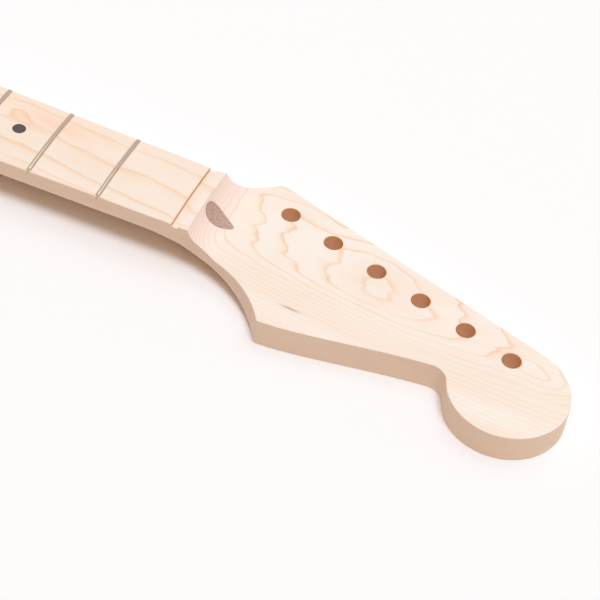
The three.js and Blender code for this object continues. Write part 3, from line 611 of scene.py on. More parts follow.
def straight_rows(plan):
    """Where the rows that run straight across lie, from the heel to the throat.

    Two rows stand at each wall of the nut slot, one above and one below. The first is the last
    row of the shaft.
    """
    shape = plan.shape
    shaft = np.linspace(plan.heel_end + shape.heel_width / 2, plan.nut, SHAFT)
    slot = [plan.nut, plan.slot_end, plan.slot_end]
    lip = np.linspace(plan.slot_end, plan.lip_end, LIP)[1:]
    turn = np.linspace(plan.scoop_turn, 0, SCOOP)[1:]
    scoop = plan.scoop_end - shape.scoop_radius * np.sin(turn)
    head = np.concatenate([
        np.linspace(plan.scoop_end, plan.throat[0, 0], HEAD)[1:], plan.bass_corner[:, 0],
        plan.treble_point[0] + np.linspace(CLOSE_START, CLOSE_END, CLOSE_ROWS),
    ])
    head = np.unique(np.round(head, ROW_DECIMALS))
    return np.concatenate([shaft, slot, lip, scoop, head[head > plan.scoop_end + FIRST_ROW_GAP]])


def neck_rows(plan):
    """Rows across the neck, each a bent line from the bass edge to the middle to the treble edge.

    Rows fan out round a fixed middle point at the heel's end and round the ball, and run
    straight across in between. Returns the bass ends, the middles, the treble ends, how far the
    top is lowered in each row, and which rows bound the nut slot.
    """
    shape = plan.shape
    heel, x = heel_rows(plan), straight_rows(plan)
    pivot = (plan.heel_end + shape.heel_width / 2, 0)
    settle = ease((x - plan.treble_point[0]) / (plan.throat[0, 0] - plan.treble_point[0]))
    middle = np.stack([x, MIDDLE_SHIFT * shape.ball_offset * settle], axis=-1)
    bass = np.stack([x, plan.side(x, 1)], axis=-1)
    treble = np.stack([x, plan.side(x, -1)], axis=-1)

    touch = QUARTER - shape.bass_slant
    tip = (touch - QUARTER) / 2
    along = np.linspace(bass[-1], plan.bass[-1], 2 * THROAT_STEPS + 1)[1:]
    around = [(plan.throat_turn - math.pi, -QUARTER, THROAT_STEPS), (-QUARTER, tip, TIP_STEPS),
              (touch, tip, TIP_STEPS)]
    left, treble_fan, bass_fan = (arc(plan.ball, shape.ball_radius, *span)[1:] for span in around)
    blocks = [
        (heel, np.tile(pivot, (len(heel), 1)), heel * (1, -1)),
        (bass, middle, treble),
        (along[:THROAT_STEPS], np.linspace(middle[-1], plan.ball, THROAT_STEPS + 1)[1:],
         plan.throat[1:]),
        (along[THROAT_STEPS:], np.tile(plan.ball, (THROAT_STEPS, 1)), left),
        (bass_fan, np.tile(plan.ball, (TIP_STEPS, 1)), treble_fan),
    ]
    bass, middle, treble = (np.vstack(column) for column in zip(*blocks))
    slot = len(heel) + SHAFT
    drops = np.full(len(bass), shape.lip_drop)
    drops[:slot] = 0
    drops[slot:slot + 2] = shape.nut_slot_depth
    bound = np.zeros(len(bass), bool)
    bound[slot - 1:slot + 3] = True
    return bass, middle, treble, drops, bound


def half_rings(plan, edge, middle, drops, bound, corner):
    """Half a ring in every row, from next to the middle of the top round to the same below.

    Along a row, s is the distance in from the edge. The top is the crown, scoop or face less
    the rounding r - r * sin t at s = r - r * cos t. Below the side wall follows a quarter
    ellipse, s = a - a * cos t and z = back + b - b * sin t, and then the level back. One point
    lies halfway down the side wall, or at the slot's floor in the rows that bound the slot.
    """
    shape, rows = plan.shape, len(edge)
    r = shape.edge_radius
    inward = middle - edge
    length = np.linalg.norm(inward, axis=1, keepdims=True)
    inward = inward / length

    def placed(s):
        return edge[:, None] + inward[:, None] * s[..., None]

    t = np.linspace(QUARTER, 0, EDGE)
    flat_s = r + EDGE_MARGIN + (length - r - EDGE_MARGIN) * np.linspace(1, 0, TOP + 1)[1:]
    top_xy = placed(np.hstack([flat_s, np.tile(r - r * np.cos(t), (rows, 1))]))
    past_slot = (edge[:, :1] - plan.slot_end) / shape.lip_length
    past_lip = (edge[:, :1] - plan.lip_end) / shape.lip_length
    on_rim = np.clip(np.minimum(past_slot, 1 - past_lip), 0, 1)
    top_xy[..., 0] += (plan.crease(top_xy[..., 1]) - plan.lip_end) * on_rim
    top_z = plan.top(top_xy[..., 0], top_xy[..., 1], drops[:, None])
    top_z -= np.concatenate([np.zeros(TOP), r - r * np.sin(t)])

    across, up = plan.carve(edge[:, 0], corner)
    back = plan.back(edge[:, 0])
    slot_floor = plan.crown(edge[:, 1]) - shape.nut_slot_depth - r
    ledge = np.where(bound, slot_floor, (top_z[:, -1] + back + up) / 2)
    t = np.linspace(0, QUARTER, BACK)
    low_s = across[:, None] * (1 - np.cos(t))
    low_z = back[:, None] + up[:, None] * (1 - np.sin(t))
    level_s = across[:, None] + (length - across[:, None]) * LEVEL_SHARES
    side_xy = placed(np.hstack([np.zeros((rows, 1)), low_s, level_s]))
    level_z = np.tile(back[:, None], len(LEVEL_SHARES))
    z = np.hstack([top_z, ledge[:, None], low_z, level_z])
    return np.concatenate([np.concatenate([top_xy, side_xy], axis=1), z[..., None]], axis=-1)


def neck_form(plan, name):
    """The wood before anything is cut into it: one skin through rings across the neck."""
    bass, middle, treble, drops, bound = neck_rows(plan)
    bass_half = half_rings(plan, bass, middle, drops, bound, plan.bass_point[0])
    treble_half = half_rings(plan, treble, middle, drops, bound, plan.treble_point[0])
    top = plan.top(middle[:, 0], middle[:, 1], drops)
    above = np.column_stack([middle, top])[:, None]
    under = np.column_stack([middle, plan.back(middle[:, 0])])[:, None]
    return skin(name, np.concatenate([above, bass_half, under, treble_half[:, ::-1]], axis=1))


def fret_slot(plan, x):
    """A fret slot's cutter: a thin slab across the board that follows the crown."""
    fitting = plan.fitting
    half = fitting.tang_width / 2 + fitting.fret_gap
    low, high = -fitting.tang_depth - fitting.fret_gap, OVERRUN
    reach = plan.half_width(x) + OVERRUN
    y = np.linspace(-reach, reach, SLOT_POINTS)
    corners = [(-half, low), (half, low), (half, high), (-half, high)]
    edges = [
        np.stack([np.full(SLOT_POINTS, x + dx), y, plan.crown(y) + dz], axis=-1)
        for dx, dz in corners
    ]
    return skin("slot", np.stack(edges, axis=1), capped=True)


def tuner_centres(plan):
    """The tuner holes' centres: evenly spaced along the slanting edge and set in from it."""
    shape = plan.shape
    for number in range(TUNERS):
        along = shape.tuner_setback + number * shape.tuner_spacing
        on_edge = walked(plan.bass_point, -shape.bass_slant, along)
        yield walked(on_edge, -shape.bass_slant - QUARTER, shape.tuner_inset)


def tuner_hole(plan, centre):
    """A hole's cutter: a straight bore that flares by a quarter round at both faces."""
    shape = plan.shape
    rim, deep = shape.tuner_rim, shape.head_thickness
    wide = shape.tuner_hole / 2 + rim
    t = np.linspace(0, QUARTER, RIM_POINTS)
    flare = np.stack([wide - rim * np.cos(t), rim - rim * np.sin(t)], axis=-1)
    lower, upper = flare[::-1], flare * (1, -1) + (0, deep)
    profile = [[0, -OVERRUN], [wide, -OVERRUN], *lower, *upper, [wide, deep + OVERRUN],
               [0, deep + OVERRUN]]
    return lathe("hole", profile, (*centre, 0), (0, 0, 1), (1, 0, 0), TUNER_HOLE_STEPS)


def channel_strip(plan, name, half, rise):
    """A strip with round ends from under the back up to a rise off the rod's height.

    Its half width is the channel's, drawn in as a circle at both ends.
    """
    fitting = plan.fitting
    start = plan.heel_end + fitting.channel_heel + fitting.channel / 2
    end = plan.nut - fitting.channel_head - fitting.channel / 2
    t = np.linspace(0, QUARTER, CHANNEL_END)
    run = np.linspace(start, end, CHANNEL_RUN + 2)[1:-1]
    x = np.concatenate([start - half * np.cos(t), run, end + half * np.sin(t)])
    w = np.concatenate([half * np.sin(t), np.full(CHANNEL_RUN, half), half * np.cos(t)])
    low, high = np.full(len(x), -OVERRUN), plan.rod_height(x) + rise
    corners = [(-w, low), (w, low), (w, high), (-w, high)]
    return skin(name, np.stack([np.stack([x, y, z], axis=-1) for y, z in corners], axis=1))


# Inlays and frets

# Share of a dot's radius at which each ring of its outer face lies, inside the softened rim
DOT_RINGS = (0.7, 0.35, 0)
# Rings at a fret's end: how much of the softening they stand back, and how far they are drawn in
FRET_END = ((1.0, 0.16), (0.6, 0.05), (0.0, 0.0))
FRET_ROUND, FRET_RUN = 21, 27
# Height of the point that a fret's end is drawn in to, as a share of the crown's height
FRET_HEART = 0.35


def inlay(name, fitting, middle, radius, depth, outside, axis, steps):
    """A short peg along an axis, whose outer end follows a surface, given as outside(points).

    Rings run from the buried centre out to the rim, up the side and in to the outer centre.
    """
    soft = fitting.dot_softening
    inner = [radius * ring for ring in DOT_RINGS]
    radii = np.array([0, radius, radius, radius - soft, *inner])[:, None, None]
    sink = np.array([depth, depth, soft, 0] + [0] * len(inner))[:, None]
    flat = np.asarray(middle, float) * (1 - axis) + radii * circle(axis, (1, 0, 0), steps)
    return skin(name, flat + (outside(flat) - sink)[..., None] * axis)


def fret_section(fitting):
    """Half round crown on an upright foot, over a tang, as (along the neck, above the crown)."""
    half, tang, seat = fitting.fret_width / 2, fitting.tang_width / 2, fitting.fret_seat
    foot, deep = fitting.fret_foot, -fitting.tang_depth
    t = np.linspace(math.pi, 0, FRET_ROUND)
    crown = np.stack([half * np.cos(t), foot + (fitting.fret_height - foot) * np.sin(t)], axis=-1)
    left = [[-tang, deep], [-tang, seat], [-half, seat]]
    right = [[half, seat], [tang, seat], [tang, deep]]
    return np.vstack([left, crown, right])


def fret_skin(plan, name, number):
    """A fret: its section carried along the crown's arc, with slanting ends that are filed soft.

    A point at height h above the crown lies at y = (R + h) sin a, z = centre + (R + h) cos a. The
    end's y falls by h times the tangent of the bevel.
    """
    fitting, x = plan.fitting, plan.fret(number)
    section = fret_section(fitting)
    rise = section[:, 1]
    bevel = fitting.fret_inset + np.maximum(rise, 0) * math.tan(fitting.fret_bevel)
    inset = np.where(rise < 0, fitting.fret_gap, bevel)
    reach = plan.half_width(x + fitting.fret_width / 2) - inset
    heart = np.array([0, fitting.fret_height * FRET_HEART])

    def ring(y, shrink):
        drawn = np.where(rise[:, None] < 0, section, heart + (section - heart) * (1 - shrink))
        radius = plan.shape.board_radius + drawn[:, 1]
        z = plan.crown_centre + radius * np.cos(np.arcsin(y / radius))
        return np.stack([x + drawn[:, 0], y, z], axis=-1)

    soft = fitting.fret_softening
    end = [(reach - soft * (1 - back), shrink) for back, shrink in FRET_END]
    run = [((reach - soft) * part, 0) for part in np.linspace(-1, 1, FRET_RUN)[1:-1]]
    places = [(-y, shrink) for y, shrink in end] + run + end[::-1]
    return skin(name, np.array([ring(y, shrink) for y, shrink in places]), capped=True)


# Shader nodes


class Tree:
    """Adds nodes to a tree and joins them, so that a formula reads in one line."""

    def __init__(self, tree):
        self.tree = tree

    def feed(self, socket, value):
        """Links a socket to this one, or sets its value."""
        if isinstance(value, bpy.types.NodeSocket):
            self.tree.links.new(value, socket)
        else:
            socket.default_value = value

    def add(self, kind, inputs=None, **settings):
        node = self.tree.nodes.new(kind)
        for name, value in settings.items():
            setattr(node, name, value)
        for key, value in (inputs or {}).items():
            self.feed(node.inputs[key], value)
        return node

    def placed(self, tree, **inputs):
        """A group in this tree, with spaces for the underscores of its inputs' names."""
        named = {key.replace("_", " "): value for key, value in inputs.items()}
        return self.add("ShaderNodeGroup", named, node_tree=tree).outputs

    def math(self, operation, *values):
        return self.add("ShaderNodeMath", dict(enumerate(values)), operation=operation).outputs[0]

    def plus(self, first, second):
        return self.math("ADD", first, second)

    def minus(self, first, second):
        return self.math("SUBTRACT", first, second)

    def times(self, first, second):
        return self.math("MULTIPLY", first, second)

    def scaled(self, value, factor, offset):
        return self.math("MULTIPLY_ADD", value, factor, offset)

    def decay(self, value, pace):
        """The exponential of minus a value times a pace."""
        return self.math("EXPONENT", self.times(value, -pace))

    def vector(self, operation, *values):
        made = self.add("ShaderNodeVectorMath", dict(enumerate(values)), operation=operation)
        return made.outputs["Value" if operation == "DOT_PRODUCT" else "Vector"]

    def xyz(self, x, y, z):
        return self.add("ShaderNodeCombineXYZ", {0: x, 1: y, 2: z}).outputs[0]

    def parts(self, vector):
        return self.add("ShaderNodeSeparateXYZ", {0: vector}).outputs

    def noise(self, point, pace, detail=2.0, rough=0.5):
        """Noise that changes at one pace, or along each axis at its own."""
        if isinstance(pace, tuple):
            point, pace = self.vector("MULTIPLY", point, pace), 1.0
        inputs = {"Vector": point, "Scale": pace, "Detail": detail, "Roughness": rough}
        return self.add("ShaderNodeTexNoise", inputs).outputs[0]

    def ranged(self, value, from_low, from_high, low=0.0, high=1.0, curve="LINEAR"):
        inputs = {"Value": value, "From Min": from_low, "From Max": from_high, "To Min": low,
                  "To Max": high}
        return self.add("ShaderNodeMapRange", inputs, interpolation_type=curve).outputs[0]

    def eased(self, value, from_low, from_high):
        return self.ranged(value, from_low, from_high, curve="SMOOTHSTEP")

    def mixed_value(self, amount, first, second):
        return self.add("ShaderNodeMix", {0: amount, 2: first, 3: second}).outputs[0]

    def mixed(self, amount, first, second, blend="MIX"):
        inputs = {0: amount, 6: first, 7: second}
        return self.add("ShaderNodeMix", inputs, data_type="RGBA", blend_type=blend).outputs[2]


def group(name, inputs, outputs):
    """A new node group with named sockets: its tree, its inputs' outlets and its own inlets."""
    tree = bpy.data.node_groups.new(name, "ShaderNodeTree")
    kinds = {"value": "NodeSocketFloat", "colour": "NodeSocketColor", "vector": "NodeSocketVector"}
    for way, sockets in (("INPUT", inputs), ("OUTPUT", outputs)):
        for label, kind in sockets.items():
            tree.interface.new_socket(label, in_out=way, socket_type=kinds[kind])
    t = Tree(tree)
    return t, t.add("NodeGroupInput").outputs, t.add("NodeGroupOutput").inputs


def rgba(values, level=1.0):
    """A colour at a level of its brightness, with full alpha."""
    return (*(min(1.0, value * level) for value in values), 1.0)


# The maple's figure. Its lengths are millimetres from the end of the board at the nut, and its
# paces are cycles per millimetre along and across the neck.

# The ridge that the layers form under the headstock: its middle and rise along it, its line
# across, how wide it is and how deep its flanks fall, and how blunt it is
RIDGE_MIDDLE, RIDGE_RISE = 94.5, 0.053
RIDGE_OFFSET, RIDGE_SLANT, RIDGE_WIDTH = 16.0, -0.2, 34.0
RIDGE_FALL, RIDGE_BLUNT = 11.0, 0.01
# Beyond a place across, over a softness, the layers fall faster by a slope: start, softness, slope
HEAD_BEND, BOARD_BEND = (-11.0, 3.0, 0.22), (-15.0, 1.0, 0.1)
# Hills in the layers: centre, radii, slant and height
HEAD_HILLS = (
    ((176, -17, 0), (13, 7, 1), 0.2, -1.4), ((52, 5, 0), (13, 5, 1), 0.3, -0.35),
    ((132, -4, 0), (12, 5, 1), 0.4, 0.3), ((36, 24, 0), (16, 8, 1), 0.1, -0.6),
    ((64, 24, 0), (10, 6, 1), 0.0, 0.6),
)
BOARD_HILLS = (((-91, 12, 0), (10, 6, 1), 0.0, 0.6),)
# Under the board the layers lean across by a slope. Their lines fan out from a place and wave.
FAN_START, FAN_SPREAD, FAN_SLOPE = 40.0, -0.0035, 0.095
WAVE_PACE, WAVE_PHASE, WAVE_HEIGHT = 0.11, 0.2, 0.9
BOARD_SLOPE, BOARD_CROWN, BOARD_LEVEL = -0.069, 0.00153, 4.038
# Between these places the board's layers turn into the headstock's
HEAD_START, HEAD_FULL = 8.0, 30.0
# Noise that makes the layers waver: pace, detail and height, and how strong it is in the board
WAVERS = (((0.03, 0.11, 0.08), 2.0, 0.9), ((0.1, 0.2, 0.2), 1.5, 0.34))
BOARD_WAVER = 0.5
LAYER_HEIGHT, LAYER_START, FIRST_LAYER = 1.35, 14.2, 40.7

# A layer's line: where in the layer it starts and is full, how fast it and its haze fade
LINE_START, LINE_FULL, LINE_FADE = 0.92, 0.985, 13.0
HAZE_FADE, HAZE = 3.0, 0.14

# In a range of four numbers, values from the first to the second become the third to the fourth.
# These make a line stronger in some stretches, in some layers and away from the treble side
PATCHY, OWN_FORCE = (0.3, 0.7, 0.5, 1.1), (0.0, 1.0, 0.45, 1.0)
OFF_TREBLE = (-28.0, -10.0, 0.62, 1.0)
# These bring clouds, bands of layers and the board a little nearer to the lines' colour
CLOUDY, BANDED, ON_BOARD = (0.35, 0.7, 0.0, 0.14), (0.4, 0.7, 0.0, 0.17), (20.0, -4.0, 0.0, 0.21)
PATCHES, CLOUDS, BAND_PACE = (0.05, 0.16, 0.16), (0.02, 0.05, 0.05), 0.37

# How far a normal points along or up where a face turns into end grain or side grain
END_ALONG, END_UP, SIDE_UP = (0.2, 0.85), (0.05, 0.3), (0.75, 0.2)
TURNED = 0.9
# Spots of another colour: input, centre, radii, slant and greatest strength
SPOTS = (
    ("Blush", (-72, 10.5, 0), (17, 4.5, 1), 0.12, 0.9),
    ("Streak", (64, -33.2, 0), (4.2, 0.55, 1), 0.06, 0.75),
)
# Reddish-brown lines in the slot's two corners: place, half width and strength. They show on the
# board's upper face, which the height and how far the normal points up tell.
SLOT_LINES = ((0.05, 0.42, 0.42), (3.2, 0.3, 0.22))
UPPER_HEIGHT, UPPER_UP = (20.0, 21.0), (0.6, 0.95)

# The fibre's noise: pace, detail and roughness. Then what it gives where it is low and high.
FIBRE = ((0.09, 2.2, 2.2), 3.0, 0.6)
NOISE_REACH = (0.2, 0.8)
FIBRE_GREY, MAPLE_ROUGHNESS = (0.965, 1.02), (0.5, 0.64)
FIBRE_RELIEF, LINE_RELIEF = 0.6, -0.3


def hill_group():
    """A smooth hill over the plan: exp(-(dx / rx)^2 - (dy / ry)^2), leaning by a slant."""
    sockets = {"Point": "vector", "Centre": "vector", "Radii": "vector", "Slant": "value"}
    t, given, out = group("grain_hill", sockets, {"Height": "value"})
    x, y, _ = t.parts(t.vector("SUBTRACT", given["Point"], given["Centre"]))
    flat = t.xyz(x, t.scaled(x, given["Slant"], y), 0.0)
    near = t.vector("DIVIDE", flat, given["Radii"])
    t.feed(out["Height"], t.decay(t.vector("DOT_PRODUCT", near, near), 1.0))
    return t.tree


def hill_at(t, hill, point, centre, radii, slant):
    """The height of one such hill over a point."""
    return t.placed(hill, Point=point, Centre=centre, Radii=radii, Slant=slant)["Height"]


def layers_group(hill):
    """The number of the growth layer at a point, with the share of it below the point.

    Layers lie about level, one every layer height. Over the headstock they arch up into a long
    ridge that slants like the tuner edge, so that the face cuts them in loops along the ridge
    and in fine lines beside it. Under the board they lean across. Noise stretched along the
    neck makes them waver.
    """
    t, given, out = group("maple_layers", {"Point": "vector"}, {"Layer": "value"})
    point = given["Point"]
    x, y, z = t.parts(point)

    def hilly(height, hills):
        for *place, rise in hills:
            height = t.scaled(hill_at(t, hill, point, *place), rise, height)
        return height

    def bent(height, start, softness, slope):
        """Adds a slope beyond a start: d / 2 + sqrt(d^2 + softness^2) / 2, d = start - y."""
        past = t.minus(start, y)
        root = t.math("SQRT", t.scaled(past, past, softness * softness))
        return t.scaled(t.times(t.plus(past, root), 0.5), slope, height)

    run = t.times(t.minus(x, RIDGE_MIDDLE), RIDGE_RISE)
    side = t.minus(y, t.scaled(x, RIDGE_SLANT, RIDGE_OFFSET))
    side = t.math("DIVIDE", side, RIDGE_WIDTH)
    fall = t.minus(t.math("SQRT", t.scaled(side, side, 1.0)), 1.0)
    fall = bent(t.times(fall, RIDGE_FALL), *HEAD_BEND)
    head = t.math("SQRT", t.scaled(run, run, t.scaled(fall, fall, RIDGE_BLUNT)))
    head = hilly(head, HEAD_HILLS)

    lean = t.scaled(t.plus(x, FAN_START), t.scaled(y, FAN_SPREAD, FAN_SLOPE), y)
    wave = t.times(t.math("SINE", t.scaled(x, WAVE_PACE, WAVE_PHASE)), WAVE_HEIGHT)
    crown = t.times(t.times(y, y), BOARD_CROWN)
    board = t.plus(t.scaled(t.plus(lean, wave), BOARD_SLOPE, crown), BOARD_LEVEL)
    board = hilly(bent(board, *BOARD_BEND), BOARD_HILLS)

    amount = t.eased(x, HEAD_START, HEAD_FULL)
    slow, quick = (
        t.times(t.minus(t.noise(point, pace, detail), 0.5), high) for pace, detail, high in WAVERS
    )
    waver = t.times(t.plus(slow, quick), t.scaled(amount, 1 - BOARD_WAVER, BOARD_WAVER))
    level = t.math("DIVIDE", t.minus(z, LAYER_START), LAYER_HEIGHT)
    whole = t.plus(t.plus(level, t.mixed_value(amount, board, head)), waver)
    t.feed(out["Layer"], t.plus(whole, FIRST_LAYER))
    return t.tree


def growth_line(t, point, y, layer):
    """Strength of the warm line that ends each layer, of its own force and patchy along it."""
    part, number = t.math("FRACT", layer), t.math("FLOOR", layer)
    own = t.add("ShaderNodeTexWhiteNoise", {"W": number}, noise_dimensions="1D").outputs["Value"]
    line = t.math("MAXIMUM", t.eased(part, LINE_START, LINE_FULL), t.decay(part, LINE_FADE))
    line = t.plus(line, t.times(t.decay(part, HAZE_FADE), HAZE))
    patchy = t.ranged(t.noise(point, PATCHES), *PATCHY)
    force = t.times(t.times(t.ranged(own, *OWN_FORCE), patchy), t.ranged(y, *OFF_TREBLE))
    return t.times(line, force)


def maple_group(hill, layers):
    """Colour, roughness and relief of maple. Each layer ends in a thin warm line."""
    tones = ("Pale", "Line", "End", "Side", "Side line", "Blush", "Streak", "Burnish")
    t, given, out = group(
        "maple_figure",
        {"Point": "vector", "Normal": "vector", **{label: "colour" for label in tones}},
        {"Color": "colour", "Roughness": "value", "Height": "value"},
    )
    point = given["Point"]
    x, y, z = t.parts(point)
    layer = t.placed(layers, Point=point)[0]
    line = growth_line(t, point, y, layer)
    facing_x, _, facing_z = t.parts(given["Normal"])
    ends = t.eased(t.math("ABSOLUTE", facing_x), *END_ALONG)
    ends = t.times(ends, t.ranged(facing_z, *END_UP))
    sides = t.eased(facing_z, *SIDE_UP)

    # Bands are noise along the layers' numbers
    banded = t.noise(t.xyz(t.times(layer, BAND_PACE), 0.5, 0.5), 1.0, 1.0)
    tone = given["Pale"]
    for value, span in ((t.noise(point, CLOUDS), CLOUDY), (banded, BANDED), (x, ON_BOARD)):
        tone = t.mixed(t.ranged(value, *span), tone, given["Line"])
    tone = t.mixed(t.times(sides, TURNED), tone, given["Side"])
    tone = t.mixed(t.times(ends, TURNED), tone, given["End"])
    for label, *place, most in SPOTS:
        spot = hill_at(t, hill, point, *place)
        tone = t.mixed(t.times(spot, most), tone, given[label])
    warm = t.mixed(sides, given["Line"], given["Side line"])
    tone = t.mixed(t.math("MINIMUM", line, 1.0), tone, warm)

    upper = t.times(t.ranged(z, *UPPER_HEIGHT), t.ranged(facing_z, *UPPER_UP))
    for place, half, most in SLOT_LINES:
        away = t.math("DIVIDE", t.minus(x, place), half)
        near = t.times(t.decay(t.times(away, away), 1.0), upper)
        tone = t.mixed(t.times(near, most), tone, given["Burnish"])
    fibre = t.noise(point, *FIBRE)
    grey = t.ranged(fibre, *NOISE_REACH, *FIBRE_GREY)
    shade = t.add("ShaderNodeCombineColor", {0: grey, 1: grey, 2: grey}).outputs[0]
    t.feed(out["Color"], t.mixed(1.0, tone, shade, "MULTIPLY"))
    t.feed(out["Roughness"], t.ranged(fibre, *NOISE_REACH, *MAPLE_ROUGHNESS))
    relief = t.plus(t.times(fibre, FIBRE_RELIEF), t.times(line, LINE_RELIEF))
    t.feed(out["Height"], relief)
    return t.tree


# Materials

# Height of the relief that the finishes' patterns give
WOOD_RELIEF, DOT_RELIEF, METAL_RELIEF = 0.02 * MM, 0.005 * MM, 0.001 * MM
# Brightness of the lines in a tinted face, of walnut's pores, of a dot's specks and of worn metal
TINT_LINE, PORE, SPECK, DULL = 0.7, 0.5, 1.9, 0.82
# Walnut's noise, in cycles per millimetre: its fibre with detail and roughness, and its pores
WALNUT_FIBRE, WALNUT_PORES = ((0.1, 1.1, 1.1), 4.0, 0.65), (0.4, 5.0, 5.0)
# The other noises, in cycles per metre, with their detail where it is finer than usual
SPECKS, SANDING, WEAR, PAPER = 2400.0, (300, 4000, 1000), (260.0, 3.0), (900.0, 3.0)
FRET_LINES, LATHE_LINES = ((4000, 250, 4000), 3.0), ((300, 5000, 5000), 3.0)
# Over which values of its noise a pattern sets in, and how strong it becomes
WALNUT_LINES, FLECKS = (0.3, 0.72), (0.3, 0.7)
PORES, SPECKLED, WORN = (0.62, 0.75, 0.0, 0.6), (0.35, 0.7, 0.0, 0.4), (0.35, 0.75, 0.0, 0.35)
# Roughness where the noise is low and high. The metals' follow their own roughness by shares.
WALNUT_ROUGHNESS, DOT_ROUGHNESS = (0.5, 0.66), (0.36, 0.5)
FRET_ROUGHNESS, STEEL_ROUGHNESS, POLISH = 0.19, 0.34, (0.8, 1.25)


def material(name):
    """A new material with a plain shader: itself, its tree and the shader's inputs."""
    made = bpy.data.materials.new(name)
    made.use_nodes = True
    made.node_tree.nodes.clear()
    t = Tree(made.node_tree)
    shader = t.add("ShaderNodeBsdfPrincipled")
    t.add("ShaderNodeOutputMaterial", {"Surface": shader.outputs[0]})
    return made, t, shader.inputs


def dress(t, shader, tone, roughness, height, distance):
    """Feeds a colour, a roughness and the relief of a height field to a shader."""
    t.feed(shader["Base Color"], tone)
    t.feed(shader["Roughness"], roughness)
    bump = t.add("ShaderNodeBump", {"Height": height, "Distance": distance, "Strength": 1.0})
    t.feed(shader["Normal"], bump.outputs[0])


def object_point(t):
    return t.add("ShaderNodeTexCoord").outputs["Object"]


def grain_point(t, plan):
    """Object coordinates in millimetres, counted from the end of the board at the nut."""
    moved = t.vector("SUBTRACT", object_point(t), (plan.nut, 0, 0))
    return t.vector("MULTIPLY", moved, (1000, 1000, 1000))


def maple(plan, name, tones):
    """A maple finish from its tones by input. Its node groups are built once and shared."""
    figure = bpy.data.node_groups.get("maple_figure")
    if figure is None:
        hill = hill_group()
        figure = maple_group(hill, layers_group(hill))
    made, t, shader = material(name)
    normal = t.add("ShaderNodeNewGeometry").outputs["Normal"]
    wood = t.placed(figure, Point=grain_point(t, plan), Normal=normal, **tones)
    dress(t, shader, wood["Color"], wood["Roughness"], wood["Height"], WOOD_RELIEF)
    return made


def bare_maple(plan, finishes):
    """Maple as it leaves the sanding."""
    tones = {
        "Pale": finishes.maple, "Line": finishes.maple_line, "End": finishes.maple_end,
        "Side": finishes.maple_side, "Side_line": finishes.maple_side_line,
        "Blush": finishes.maple_blush, "Streak": finishes.maple_streak, "Burnish": finishes.slot_brown,
    }
    return maple(plan, "bare_maple", {label: rgba(tone) for label, tone in tones.items()})


def cut_maple(plan, name, tint, slot_brown):
    """Maple for faces that a tool has cut, in one tint, with its lines a little darker."""
    tones = dict.fromkeys(("Pale", "End", "Side", "Blush", "Streak"), rgba(tint))
    tones |= dict.fromkeys(("Line", "Side_line"), rgba(tint, TINT_LINE))
    return maple(plan, name, {**tones, "Burnish": rgba(slot_brown)})


def walnut(plan, finishes):
    """Walnut across a plug or along a strip: dark pores in fine lines along the neck."""
    made, t, shader = material("sanded_walnut")
    point = grain_point(t, plan)
    fibre = t.noise(point, *WALNUT_FIBRE)
    lines = t.eased(fibre, *WALNUT_LINES)
    tone = t.mixed(lines, rgba(finishes.walnut), rgba(finishes.walnut_line))
    pores = t.ranged(t.noise(point, WALNUT_PORES), *PORES)
    tone = t.mixed(pores, tone, rgba(finishes.walnut_line, PORE))
    roughness = t.ranged(fibre, *NOISE_REACH, *WALNUT_ROUGHNESS)
    dress(t, shader, tone, roughness, fibre, WOOD_RELIEF)
    return made


def inlay_composite(finishes):
    """Dark composite with faint sanding marks."""
    made, t, shader = material("inlay_composite")
    place = object_point(t)
    speck = t.ranged(t.noise(place, SPECKS), *SPECKLED)
    marks = t.noise(place, SANDING)
    tone = t.mixed(speck, rgba(finishes.inlay), rgba(finishes.inlay, SPECK))
    dress(t, shader, tone, t.ranged(marks, *NOISE_REACH, *DOT_ROUGHNESS), marks, DOT_RELIEF)
    return made


def metal(name, tone, rough, lines):
    """Metal with fine polishing lines, given as their noise's pace along each axis and detail."""
    made, t, shader = material(name)
    place = object_point(t)
    fine = t.noise(place, *lines)
    wear = t.ranged(t.noise(place, *WEAR), *WORN)
    worn = t.mixed(wear, rgba(tone), rgba(tone, DULL))
    shader["Metallic"].default_value = 1.0
    roughness = t.ranged(fine, *NOISE_REACH, *(rough * part for part in POLISH))
    dress(t, shader, worn, roughness, fine, METAL_RELIEF)
    return made


# Pieces

# How near to the end of the board the slot's wall lies, and how far its normal points along
AT_NUT, ALONG = 0.01 * MM, 0.9
# How far the driver's cross is cut past the side of the nut
SLOT_MARGIN = MM / 2


class Maker:
    """What the operators share. It isn't an operator itself."""

    bl_options = {"REGISTER", "UNDO"}

    def finish(self, piece, slot, node, body=NECK_BODY):
        """Parents the piece to its body and hides the solid it stands for. The slot is not used."""
        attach(piece, body)
        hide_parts(node)


